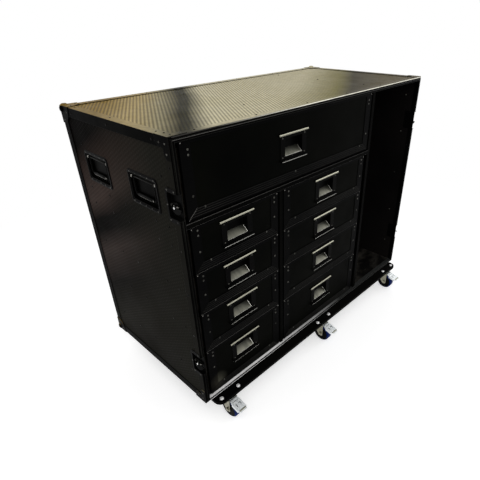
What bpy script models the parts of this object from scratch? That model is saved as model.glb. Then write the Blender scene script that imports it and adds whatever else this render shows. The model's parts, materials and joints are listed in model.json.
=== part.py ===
"""Tool flight case: an edge-bound workbox on casters with nine drawers and an open bay.

Metres. X runs to the right, Y to the back and Z up; the drawers face -Y. The origin is on the floor at
the centre of the outline. The removable front cover is off, and the casters trail forwards.
"""

import math
from dataclasses import dataclass

import bmesh
import bpy
from mathutils import Matrix, Vector

# Body, measured over the edge extrusions
CASE_WIDTH = 1.300
CASE_DEPTH = 0.615
CASE_HEIGHT = 0.938

# Boards, extrusions and fits
PANEL = 0.0104
SHEET = 0.0020
GAP = 0.0003
BITE = 0.0006
ANGLE_LEG = 0.030
LIP_DEPTH = 0.020
GROOVE_WIDTH = 0.006
TONGUE_PROUD = 0.005
TONGUE_CHAMFER = 0.001
WEB = 0.003

# Corner fittings
BALL_PROUD = 0.008
BALL_RADIUS = 0.017
DISC_SIDES = 20
BALL_SIDES = 14
CORNER_REACH = 0.056
CORNER_SHEET = 0.0015
BRACE_REACH = 0.058
BRACE_LEG = 0.027
BRACE_CHAMFER = 0.010

# Layout of the front
BAY_WIDTH = 0.345
BAY_DIVIDER_FACE = 0.016
COLUMN_DIVIDER_FACE = 0.014
SHELF_FACE = 0.015
DIVIDER_EDGE_DEPTH = 0.020
DIVIDER_SETBACK = 0.008
SHELF_SETBACK = 0.004
LEFT_FRONT_WIDTH = 0.355
OUTER_REVEAL = 0.016
CENTRE_REVEAL = 0.008
BAY_REVEAL = 0.020
TOP_BAY_REVEAL = 0.007
SHELF_REVEAL = 0.0035
FRONT_GAP = 0.002
FRONT_SETBACK = 0.010
TOP_FRONT_HEIGHT = 0.217
COLUMN_FRONT_HEIGHTS = (0.151, 0.149, 0.158)

# Drop of the pull and of the runner below the top edge of each front
TOP_DROPS = (0.101, 0.092)
COLUMN_DROPS = ((0.062, 0.062), (0.061, 0.061), (0.060, 0.062), (0.078, 0.091))

# Drawers
TRIM_SHEET = 0.0016
STILE_WIDTH = 0.034
HEAD_WIDTH = 0.009
FOOT_WIDTH = 0.031
RIB_COUNT = 4
RIB_HEIGHT = 0.0014
RIB_WIDTH = 0.0052
RIB_SLOPE = 0.0014
FRONT_BOARD = 0.009
TRAY_SIDE = 0.009
TRAY_FLOOR = 0.006
TRAY_DEPTH = 0.550
TRAY_DROP = 0.018
TRAY_RAISE = 0.008
TRAY_TENON = 0.005

# Runners
RAIL_WIDTH = 0.0122
RAIL_HEIGHT = 0.045
RAIL_SHEET = 0.0015
RAIL_LENGTH = 0.500
RAIL_FLANGE = 0.009
SLIDE_FLANGE = 0.009
RAIL_SETBACK = 0.002
BATTEN_MARGIN = 0.002
WALL_PACKER = 0.0078
BAY_PACKER = 0.0125

# Recessed pulls
PULL_WIDTH = 0.126
PULL_HEIGHT = 0.082
PULL_PLATE = 0.0015
PULL_MOUTH = 0.084
PULL_MOUTH_HEIGHT = 0.056
PULL_DEPTH = 0.024
PULL_RISE = 0.019
PULL_UNDERCUT = 0.005
PULL_SHEET = 0.0012
PULL_LIP = 0.007
TOP_LIP_WIDTH = 0.140
TOP_LIP_PROUD = 0.004
BOTTOM_LIP_PROUD = 0.007
PULL_SHIFT = -0.005
TOP_PULL_SHIFT = -0.010

# Recessed bail handles on both ends
HANDLE_PLACES = (0.169, 0.443)
HANDLE_HEIGHT = 0.760
HANDLE_DISH = (0.156, 0.104)
HANDLE_POCKET = (0.130, 0.078)
DISH_SHEET = 0.001
DISH_RADIUS = 0.012
POCKET_RADIUS = 0.006
BAIL_RADIUS = 0.0035
GRIP_RADIUS = 0.0046
BAIL_DEPTH = 0.0066
BAIL_RISE = 0.030
BAIL_LENGTH = 0.052
BAIL_HALF_WIDTH = 0.054
BAIL_BEND = 0.008
GRIP_HALF_LENGTH = 0.040

# Recessed turn latches on both ends
LATCH_HEIGHTS = (0.755, 0.183)
LATCH_DISH_DEPTH = 0.054
LATCH_DISH_HEIGHT = 0.100
LATCH_POCKET_DEPTH = 0.048
LATCH_POCKET_HEIGHT = 0.076
LATCH_PIVOT = 0.020
HOOK_REACH = 0.0245
HOOK_WIDTH = 0.016
HOOK_SHEET = 0.0025
BOSS_RADIUS = 0.010
BOSS_TOP_DEPTH = 0.0072
WING_PIN_DEPTH = 0.0045
WING_RADIUS = 0.023
WING_SHEET = 0.0025
WING_NECK = 0.0055
KNUCKLE_RADIUS = 0.0022
LUG_WIDTH = 0.003
WING_FOLDS = {"left_upper": 0.0, "left_lower": 12.0, "right_upper": 0.0, "right_lower": 70.0}

# Caster board and casters
BOARD = 0.012
BOARD_OVERHANG = 0.037
BOARD_INSET = 0.025
BOARD_REAR_CLEARANCE = 0.004
BOARD_RADIUS = 0.030
CASTER_HEIGHT = 0.1005
CASTER_INSET = 0.090
CASTER_FRONT_SETBACK = 0.011
CASTER_REAR_SETBACK = 0.108
BOLT_PITCH = (0.080, 0.060)
BOLT_RADIUS = 0.008
BOLT_DOME = 0.0045
NUT_RADIUS = 0.0075
NUT_HEIGHT = 0.0062
PLATE_SIZE = (0.104, 0.084)
PLATE_SHEET = 0.0025
RACE_RADIUS = 0.025
RACE_HEIGHT = 0.006
FORK_SHEET = 0.0025
CROWN_RADIUS = 0.029
CROWN_SHEET = 0.003
WHEEL_RADIUS = 0.040
WHEEL_HALF_WIDTH = 0.016
WHEEL_SIDES = 24
TREAD_CHAMFER = 0.005
BORE_RADIUS = 0.0045
AXLE_RADIUS = 0.004
AXLE_HEAD_RADIUS = 0.0075
AXLE_HEAD = 0.005
FORK_BOSS = 0.012
WHEEL_CLEARANCE = 0.0013
TRAIL = 0.032
PEDAL_HINGE_REACH = 0.040
PEDAL_HINGE_HEIGHT = 0.0845
PEDAL_REACH = 0.101
PEDAL_WIDTH = 0.040
PEDAL_SHEET = 0.0025
PEDAL_SLOPE = 15.0
PEDAL_PIN_RADIUS = 0.0025
PEDAL_NECK = 0.010

# Places worked out from the sizes above
WALL = 2 * SHEET + 2 * GAP + PANEL
PANEL_OUT = SHEET + GAP
PANEL_IN = PANEL_OUT + PANEL
HALF = CASE_WIDTH / 2
BOTTOM = CASTER_HEIGHT + BOARD + 2 * GAP
TOP = BOTTOM + CASE_HEIGHT
FRONT = (PEDAL_REACH - CASTER_FRONT_SETBACK - CASE_DEPTH - BALL_PROUD) / 2
BACK = FRONT + CASE_DEPTH
BACK_FACE = BACK - PANEL_IN
PANEL_FRONT = FRONT + TONGUE_PROUD + WEB + GAP
LIP_END = FRONT + LIP_DEPTH + GAP
LEFT_FACE = -HALF + PANEL_IN
BAY_DIVIDER = HALF - WALL - BAY_WIDTH - BAY_DIVIDER_FACE / 2
LEFT_FRONT = -HALF + WALL + OUTER_REVEAL
COLUMN_DIVIDER = LEFT_FRONT + LEFT_FRONT_WIDTH + CENTRE_REVEAL + COLUMN_DIVIDER_FACE / 2
TOP_FRONT_TOP = TOP - WALL - FRONT_GAP
SHELF_TOP = TOP_FRONT_TOP - TOP_FRONT_HEIGHT - SHELF_REVEAL
SHELF_BOTTOM = SHELF_TOP - SHELF_FACE
TRIM_FACE = FRONT + FRONT_SETBACK
BOARD_FACE = TRIM_FACE + TRIM_SHEET
RAIL_START = FRONT + DIVIDER_SETBACK + DIVIDER_EDGE_DEPTH + RAIL_SETBACK
FORK_TOP = CASTER_HEIGHT - PLATE_SHEET - RACE_HEIGHT - GAP
AXLE_HEIGHT = WHEEL_RADIUS * math.cos(math.pi / WHEEL_SIDES)

# Colour, roughness and metallic value of each finish
LAMINATE = ((0.012, 0.011, 0.010), 0.45, 0.0)
PLY = ((0.030, 0.026, 0.022), 0.60, 0.0)
BLACK_ALUMINIUM = ((0.020, 0.020, 0.022), 0.35, 0.7)
ZINC = ((0.55, 0.56, 0.57), 0.35, 1.0)
BLACK_STEEL = ((0.018, 0.018, 0.018), 0.35, 0.6)
BLUE_TREAD = ((0.020, 0.090, 0.260), 0.50, 0.0)


def mesh_from(bm):
    mesh = bpy.data.meshes.new("solid")
    bm.to_mesh(mesh)
    bm.free()
    return mesh


def loft(rings, endless=False):
    """A closed solid through a row of rings with equal numbers of points; open ends are capped."""
    bm = bmesh.new()
    rows = [[bm.verts.new(point) for point in ring] for ring in rings]
    pairs = list(zip(rows, rows[1:]))
    if endless:
        pairs.append((rows[-1], rows[0]))
    for near, far in pairs:
        for i, here in enumerate(near):
            j = (i + 1) % len(near)
            bm.faces.new((here, near[j], far[j], far[i]))
    if not endless:
        bm.faces.new(rows[0])
        bm.faces.new(list(reversed(rows[-1])))
    bmesh.ops.recalc_face_normals(bm, faces=bm.faces)
    return mesh_from(bm)


def on_axes(axis, a, b, along):
    """A point from its place on the two other axes, in X, Y, Z order, and along the named one."""
    return {"x": (along, a, b), "y": (a, along, b), "z": (a, b, along)}[axis]


def prism(outline, axis, low, high):
    """A flat outline, drawn on the two other axes, extruded along one axis."""
    return loft([[on_axes(axis, a, b, level) for a, b in outline] for level in (low, high)])


def box(x0, x1, y0, y1, z0, z1):
    return prism(((x0, y0), (x1, y0), (x1, y1), (x0, y1)), "z", z0, z1)


def turned(profile, axis, sides, turn=0.0):
    """A solid turned about an axis through the origin; the profile is (radius, place along it)."""
    steps = [turn + 2 * math.pi * i / sides for i in range(sides)]
    return loft([[on_axes(axis, r * math.cos(t), r * math.sin(t), s) for t in steps] for r, s in profile])


def bored(profile, axis, sides, turn=0.0):
    """A turned ring: the profile is a closed outline of (radius, place along the axis)."""
    steps = [turn + 2 * math.pi * i / sides for i in range(sides)]
    rings = [[on_axes(axis, r * math.cos(t), r * math.sin(t), s) for r, s in profile] for t in steps]
    return loft(rings, endless=True)


def sphere(radius, sides, turn):
    rings = sides // 2
    arc = [math.pi * (i / rings - 0.5) for i in range(1, rings)]
    return turned([(radius * math.cos(t), radius * math.sin(t)) for t in arc], "z", sides, turn)


def tube(path, radii, normal, sides=8):
    """A round bar along a bent path in the plane with this normal, mitred at each point."""
    points = [Vector(p) for p in path]
    runs = [(b - a).normalized() for a, b in zip(points, points[1:])]
    steps = [2 * math.pi * k / sides for k in range(sides)]
    rings = []
    for point, radius, before, after in zip(points, radii, runs[:1] + runs, runs + runs[-1:]):
        half = (before + after).normalized()
        side = normal.cross(half) / half.dot(before)
        rings.append([point + radius * (math.cos(t) * normal + math.sin(t) * side) for t in steps])
    return loft(rings)


def rounded(width, height, radius, centre=(0.0, 0.0), steps=3):
    """The outline of a rectangle with round corners."""
    points = []
    for corner, (sx, sy) in enumerate(((1, 1), (-1, 1), (-1, -1), (1, -1))):
        x = centre[0] + sx * (width / 2 - radius)
        y = centre[1] + sy * (height / 2 - radius)
        for step in range(steps + 1):
            angle = math.pi / 2 * (corner + step / steps)
            points.append((x + radius * math.cos(angle), y + radius * math.sin(angle)))
    return points


def moved(mesh, x=0.0, y=0.0, z=0.0):
    copy = mesh.copy()
    copy.transform(Matrix.Translation((x, y, z)))
    return copy


def turned_by(mesh, degrees, axis):
    copy = mesh.copy()
    copy.transform(Matrix.Rotation(math.radians(degrees), 4, axis))
    return copy


def mirrored(mesh, x=1, y=1, z=1):
    """A copy mirrored in the axes whose sign is -1."""
    copy = mesh.copy()
    copy.transform(Matrix.Diagonal((x, y, z, 1)))
    if x * y * z < 0:
        copy.flip_normals()
    return copy


def boolean(base, tools, operation):
    """The base mesh with each tool mesh cut from it, fused to it or kept in common with it."""
    body = bpy.data.objects.new("body", base)
    bpy.context.collection.objects.link(body)
    helpers = []
    for tool in tools:
        helper = bpy.data.objects.new("tool", tool)
        bpy.context.collection.objects.link(helper)
        modifier = body.modifiers.new("step", "BOOLEAN")
        modifier.operation = operation
        modifier.object = helper
        helpers.append(helper)
    depsgraph = bpy.context.evaluated_depsgraph_get()
    result = bpy.data.meshes.new_from_object(body.evaluated_get(depsgraph))
    for item in [body] + helpers:
        bpy.data.objects.remove(item)
    return result


def cut(base, *tools):
    return boolean(base, tools, "DIFFERENCE")


def fused(base, *tools):
    return boolean(base, tools, "UNION")


def piece(name, mesh, finish, at=(0.0, 0.0, 0.0), turn=(0.0, 0.0, 0.0)):
    """One named sub-part: its own material, and its origin where it is placed."""
    colour, roughness, metallic = finish
    material = bpy.data.materials.new(name)
    material.use_nodes = True
    shader = material.node_tree.nodes["Principled BSDF"]
    shader.inputs["Base Color"].default_value = (*colour, 1.0)
    shader.inputs["Roughness"].default_value = roughness
    shader.inputs["Metallic"].default_value = metallic
    own = mesh.copy()
    own.name = name
    own.materials.clear()
    own.materials.append(material)
    own.shade_smooth()
    own.set_sharp_from_angle(angle=math.radians(35))
    thing = bpy.data.objects.new(name, own)
    thing.location = at
    thing.rotation_euler = turn
    bpy.context.collection.objects.link(thing)
    return thing


def side_places(places):
    """Each place on the left and then on the right end, with the end's name and its sign of X."""
    return [(side, sign, place) for side, sign in (("left", -1), ("right", 1)) for place in places]


# Walls

def latch_cutters(depth):
    """Blocks for the latch pockets in both ends, reaching depth in from the outer face."""
    blocks = []
    half_height = LATCH_POCKET_HEIGHT / 2 + GAP
    rear = FRONT + LATCH_POCKET_DEPTH + GAP
    for side, sign, height in side_places(LATCH_HEIGHTS):
        xs = sorted((sign * (HALF - depth), sign * (HALF + SHEET)))
        z = BOTTOM + height
        blocks.append(box(*xs, FRONT - TONGUE_PROUD, rear, z - half_height, z + half_height))
    return blocks


def side_panel(sign, rows):
    """One end wall with its recessed handle dishes; the left one also carries runners on battens."""
    xs = sorted((sign * (HALF - PANEL_OUT), sign * (HALF - PANEL_IN)))
    wall = box(*xs, PANEL_FRONT, BACK - PANEL_OUT, BOTTOM + PANEL_IN + GAP, TOP - PANEL_IN - GAP)
    plate = sorted((sign * (HALF - PANEL_OUT + DISH_SHEET), sign * (HALF - PANEL_OUT - BITE)))
    pocket = sorted((sign * (HALF + SHEET), sign * (HALF - PANEL_IN + DISH_SHEET)))
    for place in HANDLE_PLACES:
        centre = (FRONT + place, BOTTOM + HANDLE_HEIGHT)
        wall = fused(wall, prism(rounded(*HANDLE_DISH, DISH_RADIUS, centre), "x", *plate))
        wall = cut(wall, prism(rounded(*HANDLE_POCKET, POCKET_RADIUS, centre), "x", *pocket))
    if sign < 0:
        wall = fused(wall, *runners(rows, LEFT_FACE))
    near = [block for block in latch_cutters(PANEL_IN + GAP) if block.vertices[0].co.x * sign > 0]
    return cut(wall, *near)


def divider(centre, face, top, notched_top, rows):
    """An upright board notched round the lips of the front frame, with its front edging and runners."""
    front = FRONT + DIVIDER_SETBACK
    low = BOTTOM + PANEL_IN + GAP
    low_front = BOTTOM + WALL + GAP
    inset = front + SHEET
    outline = [(inset, low_front), (LIP_END, low_front), (LIP_END, low), (BACK_FACE - GAP, low)]
    if notched_top:
        outline += [(BACK_FACE - GAP, top + SHEET + GAP), (LIP_END, top + SHEET + GAP), (LIP_END, top)]
    else:
        step = FRONT + SHELF_SETBACK + DIVIDER_EDGE_DEPTH + GAP
        rise = top + (SHELF_FACE - PANEL) / 2
        outline += [(BACK_FACE - GAP, rise), (step, rise), (step, top)]
    outline.append((inset, top))
    board = prism(outline, "x", centre - PANEL / 2, centre + PANEL / 2)
    edging = box(centre - face / 2, centre + face / 2, front, front + DIVIDER_EDGE_DEPTH, low_front, top)
    rails = runners(rows, centre - PANEL / 2) + runners(rows, centre + PANEL / 2)
    return fused(board, edging, *rails)


def shelf():
    """The board under the top drawer, with its aluminium edging."""
    front = FRONT + SHELF_SETBACK
    left = -HALF + WALL + GAP
    right_front = BAY_DIVIDER - BAY_DIVIDER_FACE / 2 - GAP
    right = BAY_DIVIDER - PANEL / 2 - GAP
    edge_end = FRONT + DIVIDER_SETBACK + DIVIDER_EDGE_DEPTH + GAP
    right_inset = right_front - SHEET
    outline = ((left + SHEET, front + SHEET), (right_inset, front + SHEET), (right_inset, edge_end),
               (right, edge_end), (right, BACK_FACE - GAP), (LEFT_FACE + GAP, BACK_FACE - GAP),
               (LEFT_FACE + GAP, LIP_END), (left + SHEET, LIP_END))
    middle = (SHELF_TOP + SHELF_BOTTOM) / 2
    board = prism(outline, "z", middle - PANEL / 2, middle + PANEL / 2)
    edging = box(left, right_front, front, front + DIVIDER_EDGE_DEPTH, SHELF_BOTTOM, SHELF_TOP)
    return fused(board, edging)


# Extrusions

def mitred_ring(profile):
    """An extrusion run round the four corners of the body; the profile is (inset, Y)."""
    corners = ((-1, BOTTOM, 1), (1, BOTTOM, 1), (1, TOP, -1), (-1, TOP, -1))
    rings = [[(side * (HALF - u), y, z + rise * u) for u, y in profile] for side, z, rise in corners]
    return loft(rings, endless=True)


def front_frame():
    """The tongue extrusion round the front opening, cut back at the latch pockets."""
    groove = TONGUE_PROUD
    web = groove + WEB
    profile = ((0, groove), (GROOVE_WIDTH, groove), (GROOVE_WIDTH, TONGUE_CHAMFER),
               (GROOVE_WIDTH + TONGUE_CHAMFER, 0), (WALL - TONGUE_CHAMFER, 0), (WALL, TONGUE_CHAMFER),
               (WALL, LIP_DEPTH), (WALL - SHEET, LIP_DEPTH), (WALL - SHEET, web), (SHEET, web),
               (SHEET, ANGLE_LEG), (0, ANGLE_LEG))
    return cut(mitred_ring([(u, FRONT + y) for u, y in profile]), *latch_cutters(PANEL_IN + GAP / 2))


def edge_frame():
    """The angle extrusions behind the front frame, with pressed corners and braces riveted to them."""
    leg = ANGLE_LEG
    outline = ((0, 0), (leg, 0), (leg, SHEET), (SHEET, SHEET), (SHEET, leg), (0, leg))
    frame = mitred_ring([(a, BACK - b) for a, b in outline])
    start = leg + GAP
    ball = ball_corner()
    parts = []
    for side in (-1, 1):
        for z, rise in ((BOTTOM, 1), (TOP, -1)):
            placed = [(side * (HALF - a), z + rise * b) for a, b in outline]
            parts.append(prism(placed, "y", FRONT + start, BACK - start))
            parts.append(moved(mirrored(ball, side, 1, -rise), side * HALF, BACK, z))
            brace = corner_brace(rise < 0)
            parts.append(moved(mirrored(brace, side, 1, -rise), side * HALF, FRONT, z))
    return fused(frame, *parts)


def ball_corner():
    """A pressed corner for the outward corner of a box: three plates and a ball where they meet."""
    outer = GAP + CORNER_SHEET
    reach = CORNER_REACH
    plates = box(-reach, outer, -reach, outer, -reach, outer)
    plates = boolean(plates, [sphere(reach, DISC_SIDES, 0.1)], "INTERSECT")
    centre = BALL_PROUD - BALL_RADIUS
    bump = moved(sphere(BALL_RADIUS, BALL_SIDES, 0.2), centre, centre, centre)
    inside = -BITE
    return cut(fused(plates, bump), box(-2 * reach, inside, -2 * reach, inside, -2 * reach, inside))


def corner_brace(wraps):
    """An angle brace for a front corner: it lies over the front frame and is fixed to the angle behind.

    The two at the top wrap onto the top face; the caster board leaves no room for that at the bottom.
    """
    low, high = GAP, GAP + CORNER_SHEET
    start, reach, leg, chamfer = TONGUE_PROUD + GAP, BRACE_REACH, BRACE_LEG, BRACE_CHAMFER
    flat = ((high, start), (-reach, start), (-reach, ANGLE_LEG - chamfer), (chamfer - reach, ANGLE_LEG - GAP),
            (-leg, ANGLE_LEG - GAP), (-leg, start + reach - chamfer), (chamfer - leg, start + reach),
            (high, start + reach))
    on_end = prism([(y, x) for x, y in flat], "x", low, high)
    behind = ANGLE_LEG + 2 * GAP
    end = start + reach - chamfer
    parts = [box(-BITE, low + BITE, behind, end, -leg + chamfer, -SHEET)]
    if wraps:
        parts.append(prism(flat, "z", low, high))
        parts.append(box(-leg + chamfer, -SHEET, behind, end, -BITE, low + BITE))
    return fused(on_end, *parts)


# Handles and latches, drawn for the right end with X pointing out of the case

def bail():
    """A sprung bail with a thicker grip, hanging from the pin line that is its origin."""
    end = HANDLE_POCKET[0] / 2 - GAP
    half, low, bend = BAIL_HALF_WIDTH, -BAIL_LENGTH, BAIL_BEND
    grip = GRIP_HALF_LENGTH
    arm = [(end, 0), (half, 0), (half, low + bend), (half - 0.3 * bend, low + 0.3 * bend), (half - bend, low),
           (grip + 0.001, low), (grip, low)]
    radii = [BAIL_RADIUS] * 6 + [GRIP_RADIUS]
    path = [(0, y, z) for y, z in arm] + [(0, -y, z) for y, z in reversed(arm)]
    return tube(path, radii + radii[::-1], Vector((1, 0, 0)))


def latch_dish():
    """Half of a recessed latch dish, open towards the front edge of the case."""
    out = GAP + DISH_SHEET
    front = TONGUE_PROUD + GAP
    depth, height = LATCH_DISH_DEPTH, LATCH_DISH_HEIGHT
    plate = prism(rounded(2 * depth, height, DISH_RADIUS), "x", GAP, out)
    plate = cut(plate, box(-SHEET, WALL, -2 * depth, front, -height, height))
    deep, tall = LATCH_POCKET_DEPTH, LATCH_POCKET_HEIGHT
    tub = prism(rounded(2 * deep, tall, POCKET_RADIUS), "x", -PANEL_IN, out - DISH_SHEET / 2)
    tub = cut(tub, box(-WALL, WALL, -2 * depth, DISH_SHEET, -height, height))
    inner = rounded(2 * (deep - DISH_SHEET), tall - 2 * DISH_SHEET, POCKET_RADIUS - DISH_SHEET)
    return cut(fused(plate, tub), prism(inner, "x", DISH_SHEET - PANEL_IN, out + SHEET))


def latch_rotor():
    """The turning boss with its hook arm, drawn back, and the two lugs that carry the wing."""
    base = DISH_SHEET - PANEL_IN + GAP
    boss = turned([(BOSS_RADIUS, base), (BOSS_RADIUS, -BOSS_TOP_DEPTH)], "x", 16)
    hook_in = base + HOOK_SHEET / 2
    half = HOOK_WIDTH / 2
    arm = ((0, -half), (HOOK_REACH - half / 2, -half), (HOOK_REACH, -half / 2), (HOOK_REACH, half / 2),
           (HOOK_REACH - half / 2, half), (0, half))
    hook = prism(arm, "x", hook_in, hook_in + HOOK_SHEET)
    claw_end = HOOK_REACH - HOOK_SHEET
    claw = box(hook_in + HOOK_SHEET / 2, -WING_PIN_DEPTH, claw_end, HOOK_REACH, -half / 2, half / 2)
    lugs = []
    for side in (-1, 1):
        ends = sorted((side * (WING_NECK + GAP), side * (WING_NECK + GAP + LUG_WIDTH)))
        lug = turned([(KNUCKLE_RADIUS, ends[0]), (KNUCKLE_RADIUS, ends[1])], "y", 8, math.pi / 8)
        stem = box(-BOSS_TOP_DEPTH - SHEET, -WING_PIN_DEPTH, *ends, -KNUCKLE_RADIUS / 2, KNUCKLE_RADIUS / 2)
        lugs += [moved(lug, -WING_PIN_DEPTH), stem]
    return fused(boss, hook, claw, *lugs)


def latch_wing():
    """The folding D of sheet that turns the latch, hanging from the pin line that is its origin."""
    half = WING_SHEET / 2
    neck, top = WING_NECK, -2 * KNUCKLE_RADIUS
    steps = 10
    start = math.asin(-top / WING_RADIUS)
    arc = [start + (math.pi - 2 * start) * i / steps for i in range(steps + 1)]
    outline = [(WING_RADIUS * math.cos(t), -WING_RADIUS * math.sin(t)) for t in arc]
    outline += [(-neck, top), (-neck, 0), (neck, 0), (neck, top)]
    blade = prism(outline, "x", -half, half)
    barrel = turned([(KNUCKLE_RADIUS, -neck), (KNUCKLE_RADIUS, neck)], "y", 8, math.pi / 8)
    return fused(blade, barrel)


# Drawers

@dataclass
class Drawer:
    """One drawer: the outline of its front, and the faces and packers that its runners mount on."""
    name: str
    left: float
    right: float
    bottom: float
    top: float
    pull_drop: float
    runner_drop: float
    left_face: float
    left_packer: float
    right_face: float
    right_packer: float
    shift: float = PULL_SHIFT

    def rail_back(self, side):
        """X of the back of the runner on one side, just clear of its packer or of the face."""
        packer = self.left_packer if side < 0 else self.right_packer
        face = self.left_face if side < 0 else self.right_face
        return face - side * (packer + GAP * (2 if packer else 1))

    def tray_side(self, side):
        return self.rail_back(side) - side * (RAIL_WIDTH + GAP)

    @property
    def runner(self):
        return self.top - self.runner_drop

    @property
    def pull(self):
        return self.top - self.pull_drop

    @property
    def middle(self):
        return (self.left + self.right) / 2 + self.shift


def drawers():
    """The top drawer, then each column from the top down."""
    divider_left = COLUMN_DIVIDER - PANEL / 2
    divider_right = COLUMN_DIVIDER + PANEL / 2
    bay_face = BAY_DIVIDER - PANEL / 2
    bay_edge = BAY_DIVIDER - BAY_DIVIDER_FACE / 2
    rows = [Drawer("top_drawer", LEFT_FRONT, bay_edge - TOP_BAY_REVEAL, TOP_FRONT_TOP - TOP_FRONT_HEIGHT,
                   TOP_FRONT_TOP, *TOP_DROPS, LEFT_FACE, WALL_PACKER, bay_face, 0.0, TOP_PULL_SHIFT)]
    right_front = COLUMN_DIVIDER + COLUMN_DIVIDER_FACE / 2 + CENTRE_REVEAL
    columns = (("left", LEFT_FRONT, LEFT_FRONT + LEFT_FRONT_WIDTH, LEFT_FACE, WALL_PACKER, divider_left, 0.0),
               ("right", right_front, bay_edge - BAY_REVEAL, divider_right, 0.0, bay_face, BAY_PACKER))
    for side, left, right, *mounting in columns:
        top = SHELF_BOTTOM - SHELF_REVEAL
        for number, drops in enumerate(COLUMN_DROPS):
            if number < len(COLUMN_FRONT_HEIGHTS):
                bottom = top - COLUMN_FRONT_HEIGHTS[number]
            else:
                bottom = BOTTOM + WALL + FRONT_GAP
            name = f"{side}_drawer_{number + 1}"
            rows.append(Drawer(name, left, right, bottom, top, *drops, *mounting))
            top = bottom - FRONT_GAP
    return rows


def drawer_body(drawer):
    """A tray of ply behind a front board, with the hole for the pull, the edge trim and the slides."""
    board = box(drawer.left + BITE, drawer.right - BITE, BOARD_FACE, BOARD_FACE + FRONT_BOARD,
                drawer.bottom + BITE, drawer.top - BITE)
    x0, x1 = drawer.tray_side(-1), drawer.tray_side(1)
    z0, z1 = drawer.bottom + TRAY_RAISE, drawer.top - TRAY_DROP
    y0, y1 = BOARD_FACE + FRONT_BOARD - TRAY_TENON, TRIM_FACE + TRAY_DEPTH
    tray = box(x0, x1, y0, y1, z0, z1)
    inside_front = BOARD_FACE + FRONT_BOARD + TRAY_SIDE
    hollow = box(x0 + TRAY_SIDE, x1 - TRAY_SIDE, inside_front, y1 - TRAY_SIDE, z0 + TRAY_FLOOR, drawer.top)
    half = PULL_MOUTH / 2 + PULL_SHEET + GAP
    low = drawer.pull - PULL_MOUTH_HEIGHT / 2 - PULL_SHEET - GAP
    high = drawer.pull + PULL_MOUTH_HEIGHT / 2 + PULL_UNDERCUT + PULL_SHEET + GAP
    hole = box(drawer.middle - half, drawer.middle + half, FRONT, inside_front + PULL_DEPTH, low, high)
    body = cut(fused(board, tray), hollow, hole)
    return fused(body, *trim(drawer), *[slide(drawer, side) for side in (-1, 1)])


def trim(drawer):
    """The trim on the front: a flat ring whose foot is pressed into ribs, mitred at both ends."""
    left, right, bottom, top = drawer.left, drawer.right, drawer.bottom, drawer.top
    y0, y1 = TRIM_FACE, BOARD_FACE + BITE
    opening = box(left + STILE_WIDTH, right - STILE_WIDTH, y0 - BITE, y1 + BITE, bottom + FOOT_WIDTH,
                  top - HEAD_WIDTH)
    pitch = FOOT_WIDTH / (RIB_COUNT + 0.5)
    slope = STILE_WIDTH / FOOT_WIDTH
    ribs = []
    for rib in range(RIB_COUNT):
        low = pitch * (rib + 0.5)
        profile = ((low, BITE), (low + RIB_SLOPE, -RIB_HEIGHT), (low + RIB_WIDTH - RIB_SLOPE, -RIB_HEIGHT),
                   (low + RIB_WIDTH, BITE))
        ribs.append(loft([[(edge + inward * z * slope, y0 + y, bottom + z) for z, y in profile]
                          for edge, inward in ((left, 1), (right, -1))]))
    return [cut(box(left, right, y0, y1, bottom, top), opening)] + ribs


def recessed_pull():
    """A pressed pull: a plate with two lips and a pocket whose floor slopes up to the back."""
    front, rear = 0.0, PULL_PLATE
    half_height, mouth = PULL_HEIGHT / 2, PULL_MOUTH_HEIGHT / 2
    plate = box(-PULL_WIDTH / 2, PULL_WIDTH / 2, front, rear, -half_height, half_height)
    lips = []
    for width, sign, proud in ((TOP_LIP_WIDTH, 1, TOP_LIP_PROUD), (PULL_WIDTH, -1, BOTTOM_LIP_PROUD)):
        near, far = sign * (half_height - PULL_LIP / 2), sign * (half_height + PULL_LIP / 2)
        outline = ((rear - PULL_SHEET / 2, near), (-proud / 2, near), (-proud, (near * 2 + far) / 3),
                   (-proud, (near + far * 2) / 3), (-proud / 2, far), (rear - PULL_SHEET / 2, far))
        lips.append(prism(outline, "x", -width / 2, width / 2))
    roof = mouth + PULL_UNDERCUT
    sheet = PULL_SHEET
    base = PULL_DEPTH - sheet
    shell = ((rear / 2, -mouth - sheet), (rear + sheet, -mouth - sheet), (PULL_DEPTH, PULL_RISE - mouth),
             (PULL_DEPTH, roof + sheet), (rear / 2, roof + sheet))
    half = PULL_MOUTH / 2
    pocket = prism(shell, "x", -half - sheet, half + sheet)
    floor = ((-PULL_DEPTH, -mouth), (rear, -mouth), (base, PULL_RISE - mouth), (base, roof),
             (rear + sheet / 2, roof), (rear + sheet / 2, mouth), (-PULL_DEPTH, mouth))
    hollow = prism(floor, "x", -half, half)
    return cut(fused(plate, pocket, *lips), hollow)


def slide(drawer, side):
    """The moving member of one runner, nested in the fixed channel and fixed to the tray."""
    reach = RAIL_HEIGHT / 2 - RAIL_SHEET - GAP
    sheet = RAIL_SHEET
    seat = RAIL_WIDTH + GAP + BITE
    outline = ((seat, -reach), (seat, reach), (RAIL_WIDTH - SLIDE_FLANGE, reach),
               (RAIL_WIDTH - SLIDE_FLANGE, reach - sheet), (RAIL_WIDTH - sheet, reach - sheet),
               (RAIL_WIDTH - sheet, sheet - reach), (RAIL_WIDTH - SLIDE_FLANGE, sheet - reach),
               (RAIL_WIDTH - SLIDE_FLANGE, -reach))
    placed = [(drawer.rail_back(side) - side * a, drawer.runner + b) for a, b in outline]
    return prism(placed, "y", RAIL_START, RAIL_START + RAIL_LENGTH)


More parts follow.
